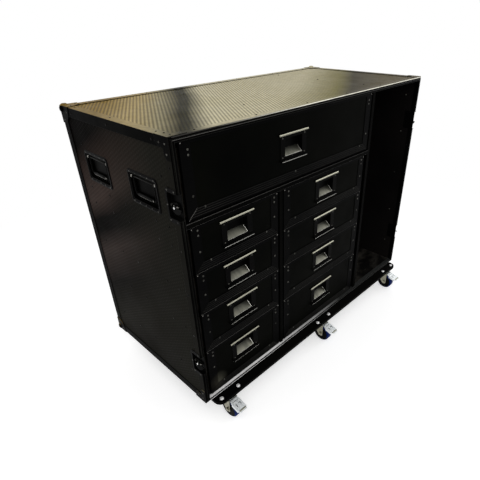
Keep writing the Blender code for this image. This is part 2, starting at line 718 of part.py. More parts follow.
def runners(rows, face):
    """The fixed channels on one face of a wall or divider, on battens where the trays stand off it."""
    half, sheet = RAIL_HEIGHT / 2, RAIL_SHEET
    seat = -GAP - BITE
    outline = ((seat, -half), (RAIL_FLANGE, -half), (RAIL_FLANGE, sheet - half), (sheet, sheet - half),
               (sheet, half - sheet), (RAIL_FLANGE, half - sheet), (RAIL_FLANGE, half), (seat, half))
    ends = (RAIL_START, RAIL_START + RAIL_LENGTH)
    solids = []
    for drawer in rows:
        for side, own_face, packer in ((-1, drawer.left_face, drawer.left_packer),
                                       (1, drawer.right_face, drawer.right_packer)):
            if own_face != face:
                continue
            back = drawer.rail_back(side)
            placed = [(back - side * a, drawer.runner + b) for a, b in outline]
            solids.append(prism(placed, "y", *ends))
            if packer:
                xs = sorted((face + side * BITE, back))
                batten = half + BATTEN_MARGIN
                low, high = drawer.runner - batten, drawer.runner + batten
                solids.append(box(*xs, ends[0] + BITE, ends[1] - BITE, low, high))
    return solids


# Casters, drawn with the swivel axis on X = Y = 0 and the floor at Z = 0

def caster_places():
    """The swivel axes, as a name, X, Y and whether a brake pedal is fitted."""
    xs = (-HALF + CASTER_INSET, 0.0, HALF - CASTER_INSET)
    rows = (("front", FRONT + CASTER_FRONT_SETBACK, True), ("rear", BACK - CASTER_REAR_SETBACK, False))
    return [(f"{row}_{side}", x, y, braked) for row, y, braked in rows
            for side, x in zip(("left", "middle", "right"), xs)]


def caster_plate(braked):
    """The top plate with its swivel race, the nuts below it and the domed bolts on the open ledge."""
    underside = CASTER_HEIGHT - PLATE_SHEET
    plate = prism(rounded(*PLATE_SIZE, DISH_RADIUS, steps=2), "z", underside, CASTER_HEIGHT + GAP + BITE)
    race = turned([(RACE_RADIUS, underside - RACE_HEIGHT), (RACE_RADIUS, underside + BITE)], "z", 16)
    parts = [race]
    x, y = (pitch / 2 for pitch in BOLT_PITCH)
    for across in (-x, x):
        for along in (-y, y):
            nut = [(NUT_RADIUS, underside - NUT_HEIGHT), (NUT_RADIUS, underside + BITE)]
            parts.append(moved(turned(nut, "z", 6), across, along))
        if braked:
            seat = BOTTOM - GAP
            head = [(BOLT_RADIUS, seat - BITE), (0.85 * BOLT_RADIUS, seat + 0.7 * BOLT_DOME),
                    (0.45 * BOLT_RADIUS, seat + BOLT_DOME)]
            parts.append(moved(turned(head, "z", 10), across, -y))
    return [plate] + parts


def caster_fork(braked):
    """Crown, two legs and the axle with its hex heads."""
    inner = WHEEL_HALF_WIDTH + WHEEL_CLEARANCE
    outer = inner + FORK_SHEET
    crown_low = FORK_TOP - CROWN_SHEET
    crown = turned([(CROWN_RADIUS, crown_low), (CROWN_RADIUS, FORK_TOP)], "z", 18)
    bridge = box(-outer, outer, -TRAIL, CROWN_RADIUS / 2, crown_low, FORK_TOP)
    boss, half_boss = FORK_BOSS, FORK_BOSS / 2
    leg = [(CROWN_RADIUS / 2, FORK_TOP), (CROWN_RADIUS / 2, crown_low - CROWN_SHEET),
           (boss - TRAIL, AXLE_HEIGHT - half_boss), (half_boss - TRAIL, AXLE_HEIGHT - boss),
           (-half_boss - TRAIL, AXLE_HEIGHT - boss), (-boss - TRAIL, AXLE_HEIGHT - half_boss),
           (-boss - TRAIL, AXLE_HEIGHT + boss)]
    if braked:
        lug = 2 * PEDAL_PIN_RADIUS
        lug_end = -PEDAL_HINGE_REACH - lug
        leg += [(lug_end, PEDAL_HINGE_HEIGHT - lug), (lug_end, PEDAL_HINGE_HEIGHT + lug / 2)]
    leg.append((-TRAIL, FORK_TOP))
    parts = [bridge] + [prism(leg, "x", *sorted((side * inner, side * outer))) for side in (-1, 1)]
    head = outer + AXLE_HEAD
    axle = [turned([(AXLE_RADIUS, -outer), (AXLE_RADIUS, outer)], "x", 8)]
    for side in (-1, 1):
        ends = (side * (outer - BITE), side * head)
        axle.append(turned([(AXLE_HEAD_RADIUS, x) for x in ends], "x", 6))
    parts += [moved(solid, 0, -TRAIL, AXLE_HEIGHT) for solid in axle]
    if braked:
        reach = inner + FORK_SHEET / 2
        pin = turned([(PEDAL_PIN_RADIUS, -reach), (PEDAL_PIN_RADIUS, reach)], "x", 8)
        parts.append(moved(pin, 0, -PEDAL_HINGE_REACH, PEDAL_HINGE_HEIGHT))
    return fused(crown, *parts)


def caster_wheel():
    """A bored wheel with a chamfered tread; a facet of it lies flat on the floor."""
    half, tread, chamfer = WHEEL_HALF_WIDTH, WHEEL_RADIUS, TREAD_CHAMFER
    profile = ((BORE_RADIUS, -half), (BORE_RADIUS, half), (tread - chamfer, half), (tread, half - chamfer),
               (tread, chamfer - half), (tread - chamfer, -half))
    return bored(profile, "x", WHEEL_SIDES, math.pi / WHEEL_SIDES)


def brake_pedal():
    """A pressed pedal with turned-down edges, reaching forwards from its hinge, which is its origin."""
    inner = WHEEL_HALF_WIDTH + WHEEL_CLEARANCE - GAP
    reach = (PEDAL_REACH - PEDAL_HINGE_REACH) / math.cos(math.radians(PEDAL_SLOPE))
    sheet, half = PEDAL_SHEET, PEDAL_WIDTH / 2
    clear = PEDAL_PIN_RADIUS + GAP
    neck = PEDAL_NECK
    shoulder = -neck - (half - inner)
    outline = ((-inner, 0), (inner, 0), (inner, -neck), (half, shoulder), (half, -reach + neck),
               (half - neck / 2, -reach), (neck / 2 - half, -reach), (-half, -reach + neck),
               (-half, shoulder), (-inner, -neck))
    plate = prism(outline, "z", clear, clear + sheet)
    rim = clear + sheet
    barrel = bored(((clear, -inner), (rim, -inner), (rim, inner), (clear, inner)), "x", 10)
    edges = []
    for side in (-1, 1):
        xs = sorted((side * half, side * (half - sheet)))
        edges.append(box(*xs, -reach + neck, -2 * neck, -2 * sheet, clear + sheet / 2))
    return turned_by(fused(barrel, plate, *edges), PEDAL_SLOPE, "X")


def caster_board():
    """The board under the body, a ledge in front of it, with the caster plates and their fasteners."""
    half = HALF - BOARD_INSET
    front, back = FRONT - BOARD_OVERHANG, BACK - CORNER_REACH - BOARD_REAR_CLEARANCE
    outline = rounded(2 * half, back - front, BOARD_RADIUS, (0, (front + back) / 2), 4)
    board = prism(outline, "z", CASTER_HEIGHT + GAP, CASTER_HEIGHT + GAP + BOARD)
    parts = [moved(part, x, y) for _, x, y, braked in caster_places() for part in caster_plate(braked)]
    return fused(board, *parts)


def build_body(rows):
    full = HALF - PANEL_OUT
    rear = BACK - PANEL_OUT
    top = box(-full, full, PANEL_FRONT, rear, TOP - PANEL_IN, TOP - PANEL_OUT)
    piece("top_panel", top, LAMINATE)
    floor = box(-full, full, PANEL_FRONT, rear, BOTTOM + PANEL_OUT, BOTTOM + PANEL_IN)
    piece("bottom_panel", floor, LAMINATE)
    piece("left_side_panel", side_panel(-1, rows), LAMINATE)
    piece("right_side_panel", side_panel(1, rows), LAMINATE)
    inner = HALF - PANEL_IN - GAP
    back = box(-inner, inner, BACK_FACE, rear, BOTTOM + PANEL_IN + GAP, TOP - PANEL_IN - GAP)
    piece("back_panel", back, LAMINATE)
    piece("drawer_shelf", shelf(), PLY)
    column_top = SHELF_BOTTOM - GAP
    column = divider(COLUMN_DIVIDER, COLUMN_DIVIDER_FACE, column_top, False, rows)
    piece("column_divider", column, PLY)
    bay = divider(BAY_DIVIDER, BAY_DIVIDER_FACE, TOP - WALL - GAP, True, rows)
    piece("compartment_divider", bay, PLY)
    piece("front_frame", front_frame(), BLACK_ALUMINIUM)
    piece("edge_frame", edge_frame(), BLACK_ALUMINIUM)


def build_ends():
    dish, bow, rotor, wing = latch_dish(), bail(), latch_rotor(), latch_wing()
    for side, sign, place in side_places(HANDLE_PLACES):
        y, z = FRONT + place, BOTTOM + HANDLE_HEIGHT
        row = "front" if place == HANDLE_PLACES[0] else "rear"
        at = (sign * (HALF - BAIL_DEPTH), y, z + BAIL_RISE)
        piece(f"{side}_{row}_handle_bail", mirrored(bow, sign), BLACK_STEEL, at)
    for side, sign, height in side_places(LATCH_HEIGHTS):
        z = BOTTOM + height
        place = f"{side}_upper" if height == LATCH_HEIGHTS[0] else f"{side}_lower"
        piece(f"{place}_latch_dish", mirrored(dish, sign), BLACK_STEEL, (sign * HALF, FRONT, z))
        y = FRONT + LATCH_PIVOT
        piece(f"{place}_latch_rotor", mirrored(rotor, sign), BLACK_STEEL, (sign * HALF, y, z))
        pin = (sign * (HALF - WING_PIN_DEPTH), y, z)
        fold = math.radians(WING_FOLDS[place])
        piece(f"{place}_latch_wing", mirrored(wing, sign), BLACK_STEEL, pin, (0, -sign * fold, 0))


def build_drawers(rows):
    pull = recessed_pull()
    pull_face = BOARD_FACE - GAP - PULL_PLATE
    for row in rows:
        piece(row.name, drawer_body(row), LAMINATE)
        piece(f"{row.name}_pull", pull, BLACK_STEEL, (row.middle, pull_face, row.pull))


def build_casters():
    piece("caster_board", caster_board(), PLY)
    forks = {braked: caster_fork(braked) for braked in (True, False)}
    wheel, pedal = caster_wheel(), brake_pedal()
    for name, x, y, braked in caster_places():
        piece(f"{name}_caster_fork", forks[braked], ZINC, (x, y, 0))
        piece(f"{name}_caster_wheel", wheel, BLUE_TREAD, (x, y - TRAIL, AXLE_HEIGHT))
        if braked:
            hinge = (x, y - PEDAL_HINGE_REACH, PEDAL_HINGE_HEIGHT)
            piece(f"{name}_brake_pedal", pedal, ZINC, hinge)


def build():
    for thing in list(bpy.data.objects):
        bpy.data.objects.remove(thing)
    rows = drawers()
    build_body(rows)
    build_ends()
    build_drawers(rows)
    build_casters()


build()
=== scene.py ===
"""Looks of the tool flight case: finishes, fasteners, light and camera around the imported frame.

Metres, in the frame's axes: X runs to the right, Y to the back and Z up; the drawers face -Y.
"""

import json
import math

import bmesh
import bpy
from mathutils import Matrix, Vector

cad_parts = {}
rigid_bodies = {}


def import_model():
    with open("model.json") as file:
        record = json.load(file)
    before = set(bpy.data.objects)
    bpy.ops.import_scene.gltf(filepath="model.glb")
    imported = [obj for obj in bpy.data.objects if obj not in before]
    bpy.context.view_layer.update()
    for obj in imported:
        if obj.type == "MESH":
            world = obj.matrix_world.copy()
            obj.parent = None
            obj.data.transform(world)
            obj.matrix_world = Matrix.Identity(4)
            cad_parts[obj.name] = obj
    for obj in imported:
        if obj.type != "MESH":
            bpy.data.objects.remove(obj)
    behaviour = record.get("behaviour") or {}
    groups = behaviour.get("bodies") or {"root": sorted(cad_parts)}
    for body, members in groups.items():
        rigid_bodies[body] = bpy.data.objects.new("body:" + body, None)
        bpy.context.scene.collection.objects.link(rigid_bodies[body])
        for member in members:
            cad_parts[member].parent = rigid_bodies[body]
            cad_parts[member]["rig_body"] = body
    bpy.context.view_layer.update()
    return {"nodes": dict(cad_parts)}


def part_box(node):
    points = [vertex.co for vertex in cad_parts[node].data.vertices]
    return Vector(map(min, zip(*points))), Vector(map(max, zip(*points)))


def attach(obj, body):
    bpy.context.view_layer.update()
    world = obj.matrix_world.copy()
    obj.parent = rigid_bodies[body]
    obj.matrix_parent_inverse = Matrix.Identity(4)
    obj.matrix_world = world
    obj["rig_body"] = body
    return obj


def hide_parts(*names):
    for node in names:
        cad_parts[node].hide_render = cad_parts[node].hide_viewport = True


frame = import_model()
nodes = frame["nodes"]

# Sizes of the case that its fasteners and finishes are placed by
FRAME_LOW, FRAME_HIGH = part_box("front_frame")
HALF = FRAME_HIGH.x
FRONT = FRAME_LOW.y
BOTTOM = FRAME_LOW.z
TOP = FRAME_HIGH.z
PANEL_OUT = 0.0023
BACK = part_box("back_panel")[1].y + PANEL_OUT
PANEL_IN = 0.0127
BOARD_FACE = FRONT + 0.0116
FRONT_BOARD = 0.009
STILE = 0.034
FOOT = 0.031
HEAD = 0.009
SILL_DEPTH = 0.022
SILL_HEIGHT = 0.020
DIVIDER_EDGING = 0.0285
SHELF_EDGING = 0.0245
RAIL_FRONT = FRONT + 0.030
RAIL_LENGTH = 0.501
RUNNERS_END = 0.58
TRAY_FRONT = 0.05
TRAY_BACK = 0.555
CORNER_REACH = 0.075
PULL_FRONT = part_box("left_drawer_1_pull")[0].y + 0.008
HANDLE_PLACES = (0.169, 0.443)
HANDLE_HEIGHT = 0.760
HANDLE_DISH = (0.156, 0.104)
LATCH_HEIGHTS = (0.755, 0.183)
WING_PIN_DEPTH = 0.0045
BAIL_PIN_DEPTH = 0.0066
GRIP_HALF = 0.0401
ROTOR_BRIGHT = 0.0068
ANGLE_RIVET = 0.0165

# The middle of the painted reflection of the floor on the lowest left drawer
GLARE_SPOT = (-0.583, BOARD_FACE, 0.166)

# How much of the backdrop's white is added to the floor, over what the lamps give it
FLOOR_LIFT = 0.52

# The distances between which the floor turns into the backdrop's white
FLOOR_FADE = (0.9, 2.2)

# The boards' raised net: its pitch, and the turn of its rows in degrees on the top and on the walls
NET_PITCH = 0.0107
TOP_NET_TURN = 149.5
WALL_NET_TURN = 121.0

# The pitch of the plies on a drawer's edge
PLY_PITCH = 0.0028

# The top's film, mostly a painted reflection: its tones along a line to the right and the front, then over
# its right end
TOP_DRIFT = (0.826, -0.563, 0.0)
CREAM = (0.525, 0.475, 0.315)
TOP_TONES = ((-0.600, (0.220, 0.145, 0.036)), (-0.490, (0.385, 0.295, 0.135)),
             (-0.420, (0.270, 0.235, 0.135)), (-0.357, (0.021, 0.018, 0.006)),
             (-0.332, (0.028, 0.025, 0.010)), (-0.268, CREAM))
END_DRIFT = (0.537, -0.843, 0.0)
END_TONES = ((0.060, CREAM), (0.226, (0.200, 0.178, 0.070)), (0.284, (0.050, 0.042, 0.022)),
             (0.420, (0.118, 0.098, 0.056)))

# The end walls' film: olive near the front, and painted reflection in bands of brown and black on a slant
# further back
WALL_DRIFT = (0.0, 0.447, 0.894)
WALL_TONES = ((0.170, (0.0060, 0.0052, 0.0044)), (0.320, (0.0139, 0.0130, 0.0100)),
              (0.470, (0.0076, 0.0068, 0.0060)), (0.592, (0.0400, 0.0300, 0.0265)),
              (0.665, (0.0018, 0.0015, 0.0012)), (0.708, (0.0018, 0.0015, 0.0012)),
              (0.778, (0.0480, 0.0340, 0.0290)), (0.885, (0.0250, 0.0165, 0.0135)),
              (0.955, (0.0012, 0.0008, 0.0006)))
WALL_OLIVE = (0.0130, 0.0124, 0.0098)

# Pieces that come more than once, and the end walls with the sign of their X
SIDES = (("left", -1), ("right", 1))
DRAWERS = ["top_drawer"] + [f"{side}_drawer_{n}" for side in ("left", "right") for n in range(1, 5)]
CASTERS = [f"{row}_{side}" for row in ("front", "rear") for side in ("left", "middle", "right")]

# Out of the case at the drawers' side
AHEAD = (0, -1, 0)

# Meshes: merging distance, the angle from which edges are eased, sides of turned heads, a screw's cross
MERGE = 0.00002
EASED_ANGLE = 32
HEAD_SIDES = 12
HUB_SIDES = 24
CROSS = 0.45

# Lamps: name, place, size and watts; and how much of the world's white lights the case
LAMPS = (("key", (-1.8, -2.6, 3.2), 2.6, 42), ("fill", (2.8, -1.6, 2.2), 2.2, 16),
         ("rear", (-1.6, 3.0, 2.6), 2.6, 18))
WORLD_LIGHT = 0.60


# Finishes

class Finish:
    """A Principled material built from nodes, with its patterns laid out in the object's own metres."""

    def __init__(self, name, metallic=0.0, specular=0.5):
        self.material = bpy.data.materials.new(name)
        self.material.use_nodes = True
        self.tree = self.material.node_tree
        self.shader = self.tree.nodes["Principled BSDF"]
        self.shader.inputs["Metallic"].default_value = metallic
        self.shader.inputs["Specular IOR Level"].default_value = specular
        self.place = self.tree.nodes.new("ShaderNodeTexCoord").outputs["Object"]
        self.normal = None

    def node(self, kind, inputs, output, **settings):
        made = self.tree.nodes.new(kind)
        for key, value in settings.items():
            setattr(made, key, value)
        for key, value in inputs.items():
            self.feed(made.inputs[key], value)
        return made.outputs[output]

    def feed(self, socket, value):
        if isinstance(value, bpy.types.NodeSocket):
            self.tree.links.new(value, socket)
        else:
            socket.default_value = value

    def noise(self, scale, detail=3.0, stretch=(1, 1, 1), roughness=0.5):
        at = self.node("ShaderNodeMapping", {"Vector": self.place, "Scale": stretch}, "Vector")
        return self.node("ShaderNodeTexNoise", {"Vector": at, "Scale": scale, "Detail": detail,
                                                "Roughness": roughness}, "Fac")

    def cells(self, scale):
        return self.node("ShaderNodeTexVoronoi", {"Vector": self.place, "Scale": scale}, "Distance")

    def computed(self, operation, a, b=0.0):
        return self.node("ShaderNodeMath", {0: a, 1: b}, "Value", operation=operation)

    def along_line(self, direction):
        """How far a point lies along a direction."""
        return self.node("ShaderNodeVectorMath", {0: self.place, 1: direction}, "Value",
                         operation="DOT_PRODUCT")

    def net(self, plane, first):
        """Three cosine waves at 60 degrees to each other: the ridges of a net of hexagons."""
        waves = []
        for turn in (0, 60, 120):
            a = math.radians(first + turn)
            across = Vector(plane[0]) * math.cos(a) + Vector(plane[1]) * math.sin(a)
            place = self.along_line(across * (2 * math.pi / NET_PITCH))
            waves.append(self.computed("COSINE", place))
        others = self.computed("ADD", waves[1], waves[2])
        return waves[0], self.computed("ADD", waves[0], others)

    def rescaled(self, value, low, high, to_low=0.0, to_high=1.0):
        return self.node("ShaderNodeMapRange", {"Value": value, "From Min": low, "From Max": high,
                                                "To Min": to_low, "To Max": to_high}, "Result")

    def mixed(self, factor, a, b):
        a, b = [(*c, 1.0) if isinstance(c, tuple) else c for c in (a, b)]
        return self.node("ShaderNodeMixRGB", {"Fac": factor, "Color1": a, "Color2": b}, "Color")

    def along(self, axis):
        return self.node("ShaderNodeSeparateXYZ", {0: self.place}, axis)

    def colour(self, value):
        self.feed(self.shader.inputs["Base Color"], value)
        return self

    def rough(self, value):
        self.feed(self.shader.inputs["Roughness"], value)
        return self

    def metal(self, value):
        self.feed(self.shader.inputs["Metallic"], value)
        return self

    def bump(self, height, depth):
        inputs = {"Height": height, "Distance": depth, "Strength": 1.0}
        if self.normal:
            inputs["Normal"] = self.normal
        self.normal = self.node("ShaderNodeBump", inputs, "Normal")
        self.tree.links.new(self.normal, self.shader.inputs["Normal"])
        return self


def coated(name, dark, light, rough, grain, depth, specular, patch=5.0, metallic=0.0,
           stretch=(1, 1, 1)):
    """A finish whose tone and gloss drift over patches, with a fine raised grain."""
    made = Finish(name, metallic=metallic, specular=specular)
    drift = made.rescaled(made.noise(patch, 4.0, stretch), 0.3, 0.7)
    made.colour(made.mixed(drift, dark, light))
    smudge = made.rescaled(made.noise(patch * 3.1, 5.0, stretch), 0.3, 0.7, *rough)
    made.rough(smudge)
    return made.bump(made.noise(grain, 2.0, stretch), depth)


def ramp(made, place, tones):
    """A colour that runs through a list of tones, each reached at its own place."""
    tone = tones[0][1]
    for (start, _), (end, colour) in zip(tones, tones[1:]):
        tone = made.mixed(made.rescaled(place, start, end), tone, colour)
    return tone


def film_and_reflection(made):
    """The top's colour, mostly a painted reflection: tan, a dark band, cream, then olive, dark and brown
    at the right.
    """
    wander = made.rescaled(made.noise(5.0, 3.0), 0.3, 0.7, -0.007, 0.007)
    left = ramp(made, made.computed("ADD", made.along_line(TOP_DRIFT), wander), TOP_TONES)
    place = made.computed("ADD", made.along_line(END_DRIFT), wander)
    right = ramp(made, place, END_TONES)
    return made.mixed(made.rescaled(place, 0.050, 0.062), left, right)


def shaded(made, tone, factor):
    return made.node("ShaderNodeMixRGB", {"Fac": 1.0, "Color1": tone, "Color2": factor}, "Color",
                     blend_type="MULTIPLY")


def top_board():
    """The anti-slip board of the top: a raised net of hexagons under an olive film, with a painted
    reflection.
    """
    made = Finish("top_board", specular=0.02)
    row, net = made.net(((1, 0, 0), (0, 1, 0)), TOP_NET_TURN)
    tone_patch = made.rescaled(made.noise(40, 5.0), 0.35, 0.65, 0.90, 1.06)
    # Painted light and shade along the net's rows
    ridge = made.rescaled(row, -1.0, 1.0, 0.56, 1.28)
    made.colour(shaded(made, shaded(made, film_and_reflection(made), ridge), tone_patch))
    made.rough(made.rescaled(made.noise(9.0, 4.0), 0.3, 0.7, 0.42, 0.56))
    made.bump(net, 0.00020)
    return made.bump(made.noise(900, 2.0), 0.00004)


def top_leg():
    """The top faces of the extrusions: smooth, in the colours of the board beside them, a painted
    reflection.
    """
    made = Finish("top_leg", specular=0.02)
    streak = made.rescaled(made.noise(60, 4.0), 0.35, 0.65, 0.80, 1.06)
    made.colour(shaded(made, film_and_reflection(made), streak))
    made.rough(0.42)
    return made.bump(made.noise(600, 2.0), 0.00003)


def wall_board(name, plane, banded):
    """The black board of the walls, with the same net, faintly; the end walls' film is banded with painted
    reflection.
    """
    made = Finish(name, specular=0.003)
    row, net = made.net(plane, WALL_NET_TURN)
    drift = made.rescaled(made.noise(3.4, 2.0, (1, 0.55, 1.5), 0.4), 0.38, 0.62)
    if banded:
        wander = made.rescaled(drift, 0.0, 1.0, -0.010, 0.010)
        place = made.computed("ADD", made.along_line(WALL_DRIFT), wander)
        # Painted reflection in slanted bands
        bands = ramp(made, place, WALL_TONES)
        film = made.mixed(made.rescaled(made.along("Y"), -0.17, 0.20), WALL_OLIVE, bands)
    else:
        film = made.mixed(drift, (0.0060, 0.0056, 0.0045), (0.0105, 0.0094, 0.0078))
    # Painted light and shade along the net's rows
    made.colour(shaded(made, film, made.rescaled(row, -1.0, 1.0, 0.89, 1.10)))
    made.rough(made.rescaled(made.noise(6.0, 4.0), 0.3, 0.7, 0.34, 0.50))
    made.bump(net, 0.00012)
    return made.bump(made.noise(700, 2.0), 0.00004)


def worn_metal(name, coating, metal, amount, rough, patch=60):
    """A coating with bright metal through it in patches; the amount is the share left bright, high for
    painted highlights.
    """
    made = Finish(name, specular=0.02)
    rub = made.rescaled(made.noise(patch, 5.0, (1, 1, 1), 0.7), 0.58 - amount * 0.4, 0.74 - amount * 0.4)
    made.colour(made.mixed(rub, coating, metal)).metal(rub)
    made.rough(made.rescaled(made.noise(150, 3.0), 0.3, 0.7, rough - 0.06, rough + 0.10))
    return made.bump(made.noise(500, 2.0), 0.00003)


def zinc_plate(name, dark, light, metallic=1.0):
    made = Finish(name, metallic=metallic)
    spangle = made.rescaled(made.cells(260), 0.0, 0.9)
    made.colour(made.mixed(spangle, dark, light))
    made.rough(made.rescaled(made.noise(90, 4.0), 0.3, 0.7, 0.22, 0.40))
    return made.bump(made.noise(420, 3.0), 0.00005)


def drawn_sheet():
    """The satin floor of a pull: grey sheet with faint upright drawing marks, darker towards its back:
    painted shade.
    """
    made = Finish("drawn_sheet", metallic=0.85)
    marks = made.rescaled(made.noise(34, 4.0, (1, 0.15, 0.15), 0.65), 0.3, 0.7)
    sheet = made.mixed(marks, (0.110, 0.112, 0.092), (0.230, 0.225, 0.180))
    # Painted shade, deeper into the pocket
    shade = made.rescaled(made.along("Y"), PULL_FRONT, PULL_FRONT + 0.020, 1.0, 0.25)
    made.colour(shaded(made, sheet, shade))
    made.rough(made.rescaled(marks, 0.0, 1.0, 0.50, 0.38))
    return made.bump(made.noise(260, 3.0, (1, 0.2, 0.2)), 0.00006)


def black_with_glare(name, dark, light, glare_tone, specular):
    """The black of the drawers' fronts and trim, with a painted reflection of the floor on the lowest left
    drawer.
    """
    made = Finish(name, specular=specular)
    drift = made.rescaled(made.noise(5.0, 4.0), 0.3, 0.7)
    film = made.mixed(drift, dark, light)
    away = made.node("ShaderNodeVectorMath", {0: made.place, 1: GLARE_SPOT}, "Value", operation="DISTANCE")
    # Painted reflection of the floor: a light patch fading out from its middle
    tone_patch = made.rescaled(away, 0.046, 0.004, 0.0, 1.0)
    streak = made.rescaled(made.noise(22, 4.0, (1, 1, 0.4)), 0.35, 0.65, 0.35, 1.0)
    made.colour(made.mixed(made.computed("MULTIPLY", tone_patch, streak), film, glare_tone))
    made.rough(made.rescaled(made.noise(15.0, 5.0), 0.3, 0.7, 0.40, 0.54))
    return made.bump(made.noise(640, 2.0), 0.00009)


def painted_highlight(name, start, end, dark, light, specular=0.10, back=None):
    """A painted highlight along an edge: bright at one end of the case, less towards the other, not behind
    a given Y.
    """
    made = Finish(name, specular=specular)
    fade = made.rescaled(made.along("X"), start, end)
    patch = made.rescaled(made.noise(24, 4.0), 0.3, 0.7, 0.82, 1.1)
    share = made.computed("MULTIPLY", fade, patch)
    if back:
        kept = made.rescaled(made.along("Y"), back, back + 0.0015, 1.0, 0.0)
        share = made.computed("MULTIPLY", share, kept)
    made.colour(made.mixed(share, dark, light))
    made.rough(0.35)
    return made.bump(made.noise(400, 3.0), 0.00003)


def ply_edge():
    """Birch ply seen on its edge: thin plies stacked upwards, near black just behind the drawer's front:
    painted shade.
    """
    made = Finish("ply_edge", specular=0.25)
    layers = made.computed("SINE", made.computed("MULTIPLY", made.along("Z"), 2 * math.pi / PLY_PITCH))
    grain = made.rescaled(made.noise(180, 4.0, (1, 1, 5)), 0.3, 0.7)
    light = made.mixed(grain, (0.42, 0.29, 0.16), (0.56, 0.42, 0.26))
    plies = made.mixed(made.rescaled(layers, -0.2, 0.5), light, (0.25, 0.15, 0.08))
    # Painted shade: near black just behind the drawer's front
    painted = made.rescaled(made.along("Y"), FRONT + 0.09, FRONT + 0.07)
    made.colour(made.mixed(painted, plies, (0.003, 0.003, 0.002)))
    made.rough(0.7)
    return made.bump(grain, 0.0001)


def scuffed_floor():
    """The bay's floor: black board, scuffed grey-brown by what has stood on it."""
    made = Finish("scuffed_floor", specular=0.03)
    wear = made.rescaled(made.noise(7.0, 6.0, (1, 1.6, 1), 0.62), 0.46, 0.66)
    scratch = made.rescaled(made.noise(28, 5.0, (0.4, 3.0, 1), 0.7), 0.60, 0.72)
    both = made.computed("MAXIMUM", wear, scratch)
    made.colour(made.mixed(both, (0.0034, 0.0031, 0.0028), (0.045, 0.041, 0.035)))
    made.rough(made.rescaled(both, 0.0, 1.0, 0.45, 0.72))
    return made.bump(made.noise(500, 2.0), 0.00008)


def rubber(name, dark, light, rough=0.6):
    made = Finish(name, specular=0.06)
    made.colour(made.mixed(made.rescaled(made.noise(70, 4.0), 0.3, 0.7), dark, light))
    made.rough(rough)
    return made.bump(made.noise(700, 2.0), 0.00006)


SIDE_BOARD = wall_board("side_board", ((0, -1, 0), (0, 0, 1)), True)
BACK_BOARD = wall_board("back_board", ((1, 0, 0), (0, 0, 1)), False)
# The last tone given is the painted reflection of the floor on the lowest left drawer
FRONT_FILM = black_with_glare("front_film", (0.0005, 0.0006, 0.0004), (0.0017, 0.0018, 0.0012),
                           glare_tone=(0.075, 0.073, 0.056), specular=0.009)
BAY_FILM = coated("bay_film", (0.0022, 0.0020, 0.0020), (0.0080, 0.0068, 0.0062), (0.42, 0.60),
                  grain=560, depth=0.00009, specular=0.02, patch=2.2)
TRAY_FILM = coated("tray_film", (0.020, 0.015, 0.011), (0.032, 0.025, 0.018), (0.50, 0.62),
                   grain=420, depth=0.00008, specular=0.2)
LEDGE_FILM = coated("ledge_film", (0.0012, 0.0012, 0.0011), (0.0032, 0.0030, 0.0028), (0.46, 0.62),
                    grain=520, depth=0.00010, specular=0.012)
ANODISED = coated("anodised", (0.0006, 0.0006, 0.0006), (0.0022, 0.0022, 0.0019), (0.34, 0.46),
                  grain=900, depth=0.00003, specular=0.005)
# A lighter copy of the black extrusion for the front frame's outer sides: painted light
SIDE_LEG = coated("side_leg", (0.0080, 0.0076, 0.0062), (0.0125, 0.0119, 0.0094), (0.34, 0.46),
                  grain=900, depth=0.00003, specular=0.004)
# The last tone given is the painted reflection of the floor on the lowest left drawer
TRIM_BLACK = black_with_glare("trim_black", (0.0006, 0.0006, 0.0007), (0.0018, 0.0018, 0.0018),
                           glare_tone=(0.030, 0.028, 0.021), specular=0.012)
BLACK_STEEL = coated("black_steel", (0.0006, 0.0006, 0.0006), (0.0022, 0.0022, 0.0020), (0.30, 0.44),
                     grain=700, depth=0.00005, specular=0.014)
HUB_BLACK = coated("hub_black", (0.0006, 0.0006, 0.0006), (0.0020, 0.0020, 0.0020), (0.40, 0.55),
                   grain=500, depth=0.00006, specular=0.02)
# Lighter finishes for eased edges: partly wear, partly a painted highlight along the edges
EDGE_WEAR_AND_HIGHLIGHT = coated("edge_wear_and_highlight", (0.0016, 0.0016, 0.0014), (0.0190, 0.0187, 0.0165), (0.30, 0.42),
                   grain=500, depth=0.00003, specular=0.02)
FAINT_EDGE = coated("faint_edge", (0.0010, 0.0010, 0.0009), (0.0100, 0.0100, 0.0090), (0.30, 0.42),
                    grain=500, depth=0.00003, specular=0.012)
# Pale metal on the pulls' upper lips: a painted highlight
LIP_HIGHLIGHT = worn_metal("lip_highlight", (0.26, 0.26, 0.20), (0.44, 0.43, 0.34), amount=0.95, rough=0.30)
# Pale metal on the strips along the pulls' lower lips and floor folds: painted highlights
HEM_HIGHLIGHT = worn_metal("hem", (0.34, 0.34, 0.30), (0.62, 0.61, 0.56), amount=0.8, rough=0.30)
NICKEL_AND_GLINT = worn_metal("nickel_and_glint", (0.03, 0.03, 0.03), (0.26, 0.25, 0.23), amount=0.6, rough=0.28, patch=30)
CORNER = coated("corner", (0.0005, 0.0005, 0.0005), (0.0030, 0.0029, 0.0025), (0.24, 0.36),
                grain=500, depth=0.00004, specular=0.006, patch=12)
DULL_RIVET_AND_GLINT = worn_metal("dull_rivet_and_glint", (0.004, 0.004, 0.004), (0.070, 0.069, 0.060),
                        amount=0.55, rough=0.32, patch=30)
BLACK_SCREW = worn_metal("black_screw", (0.0006, 0.0006, 0.0006), (0.016, 0.015, 0.013),
                         amount=0.32, rough=0.34, patch=14)
BOLT = zinc_plate("bolt", (0.86, 0.86, 0.85), (0.95, 0.95, 0.94), metallic=0.4)
ZINC = zinc_plate("zinc_plate", (0.52, 0.56, 0.58), (0.88, 0.90, 0.90))
DULL_ZINC = zinc_plate("dull_zinc", (0.16, 0.155, 0.115), (0.36, 0.345, 0.265))
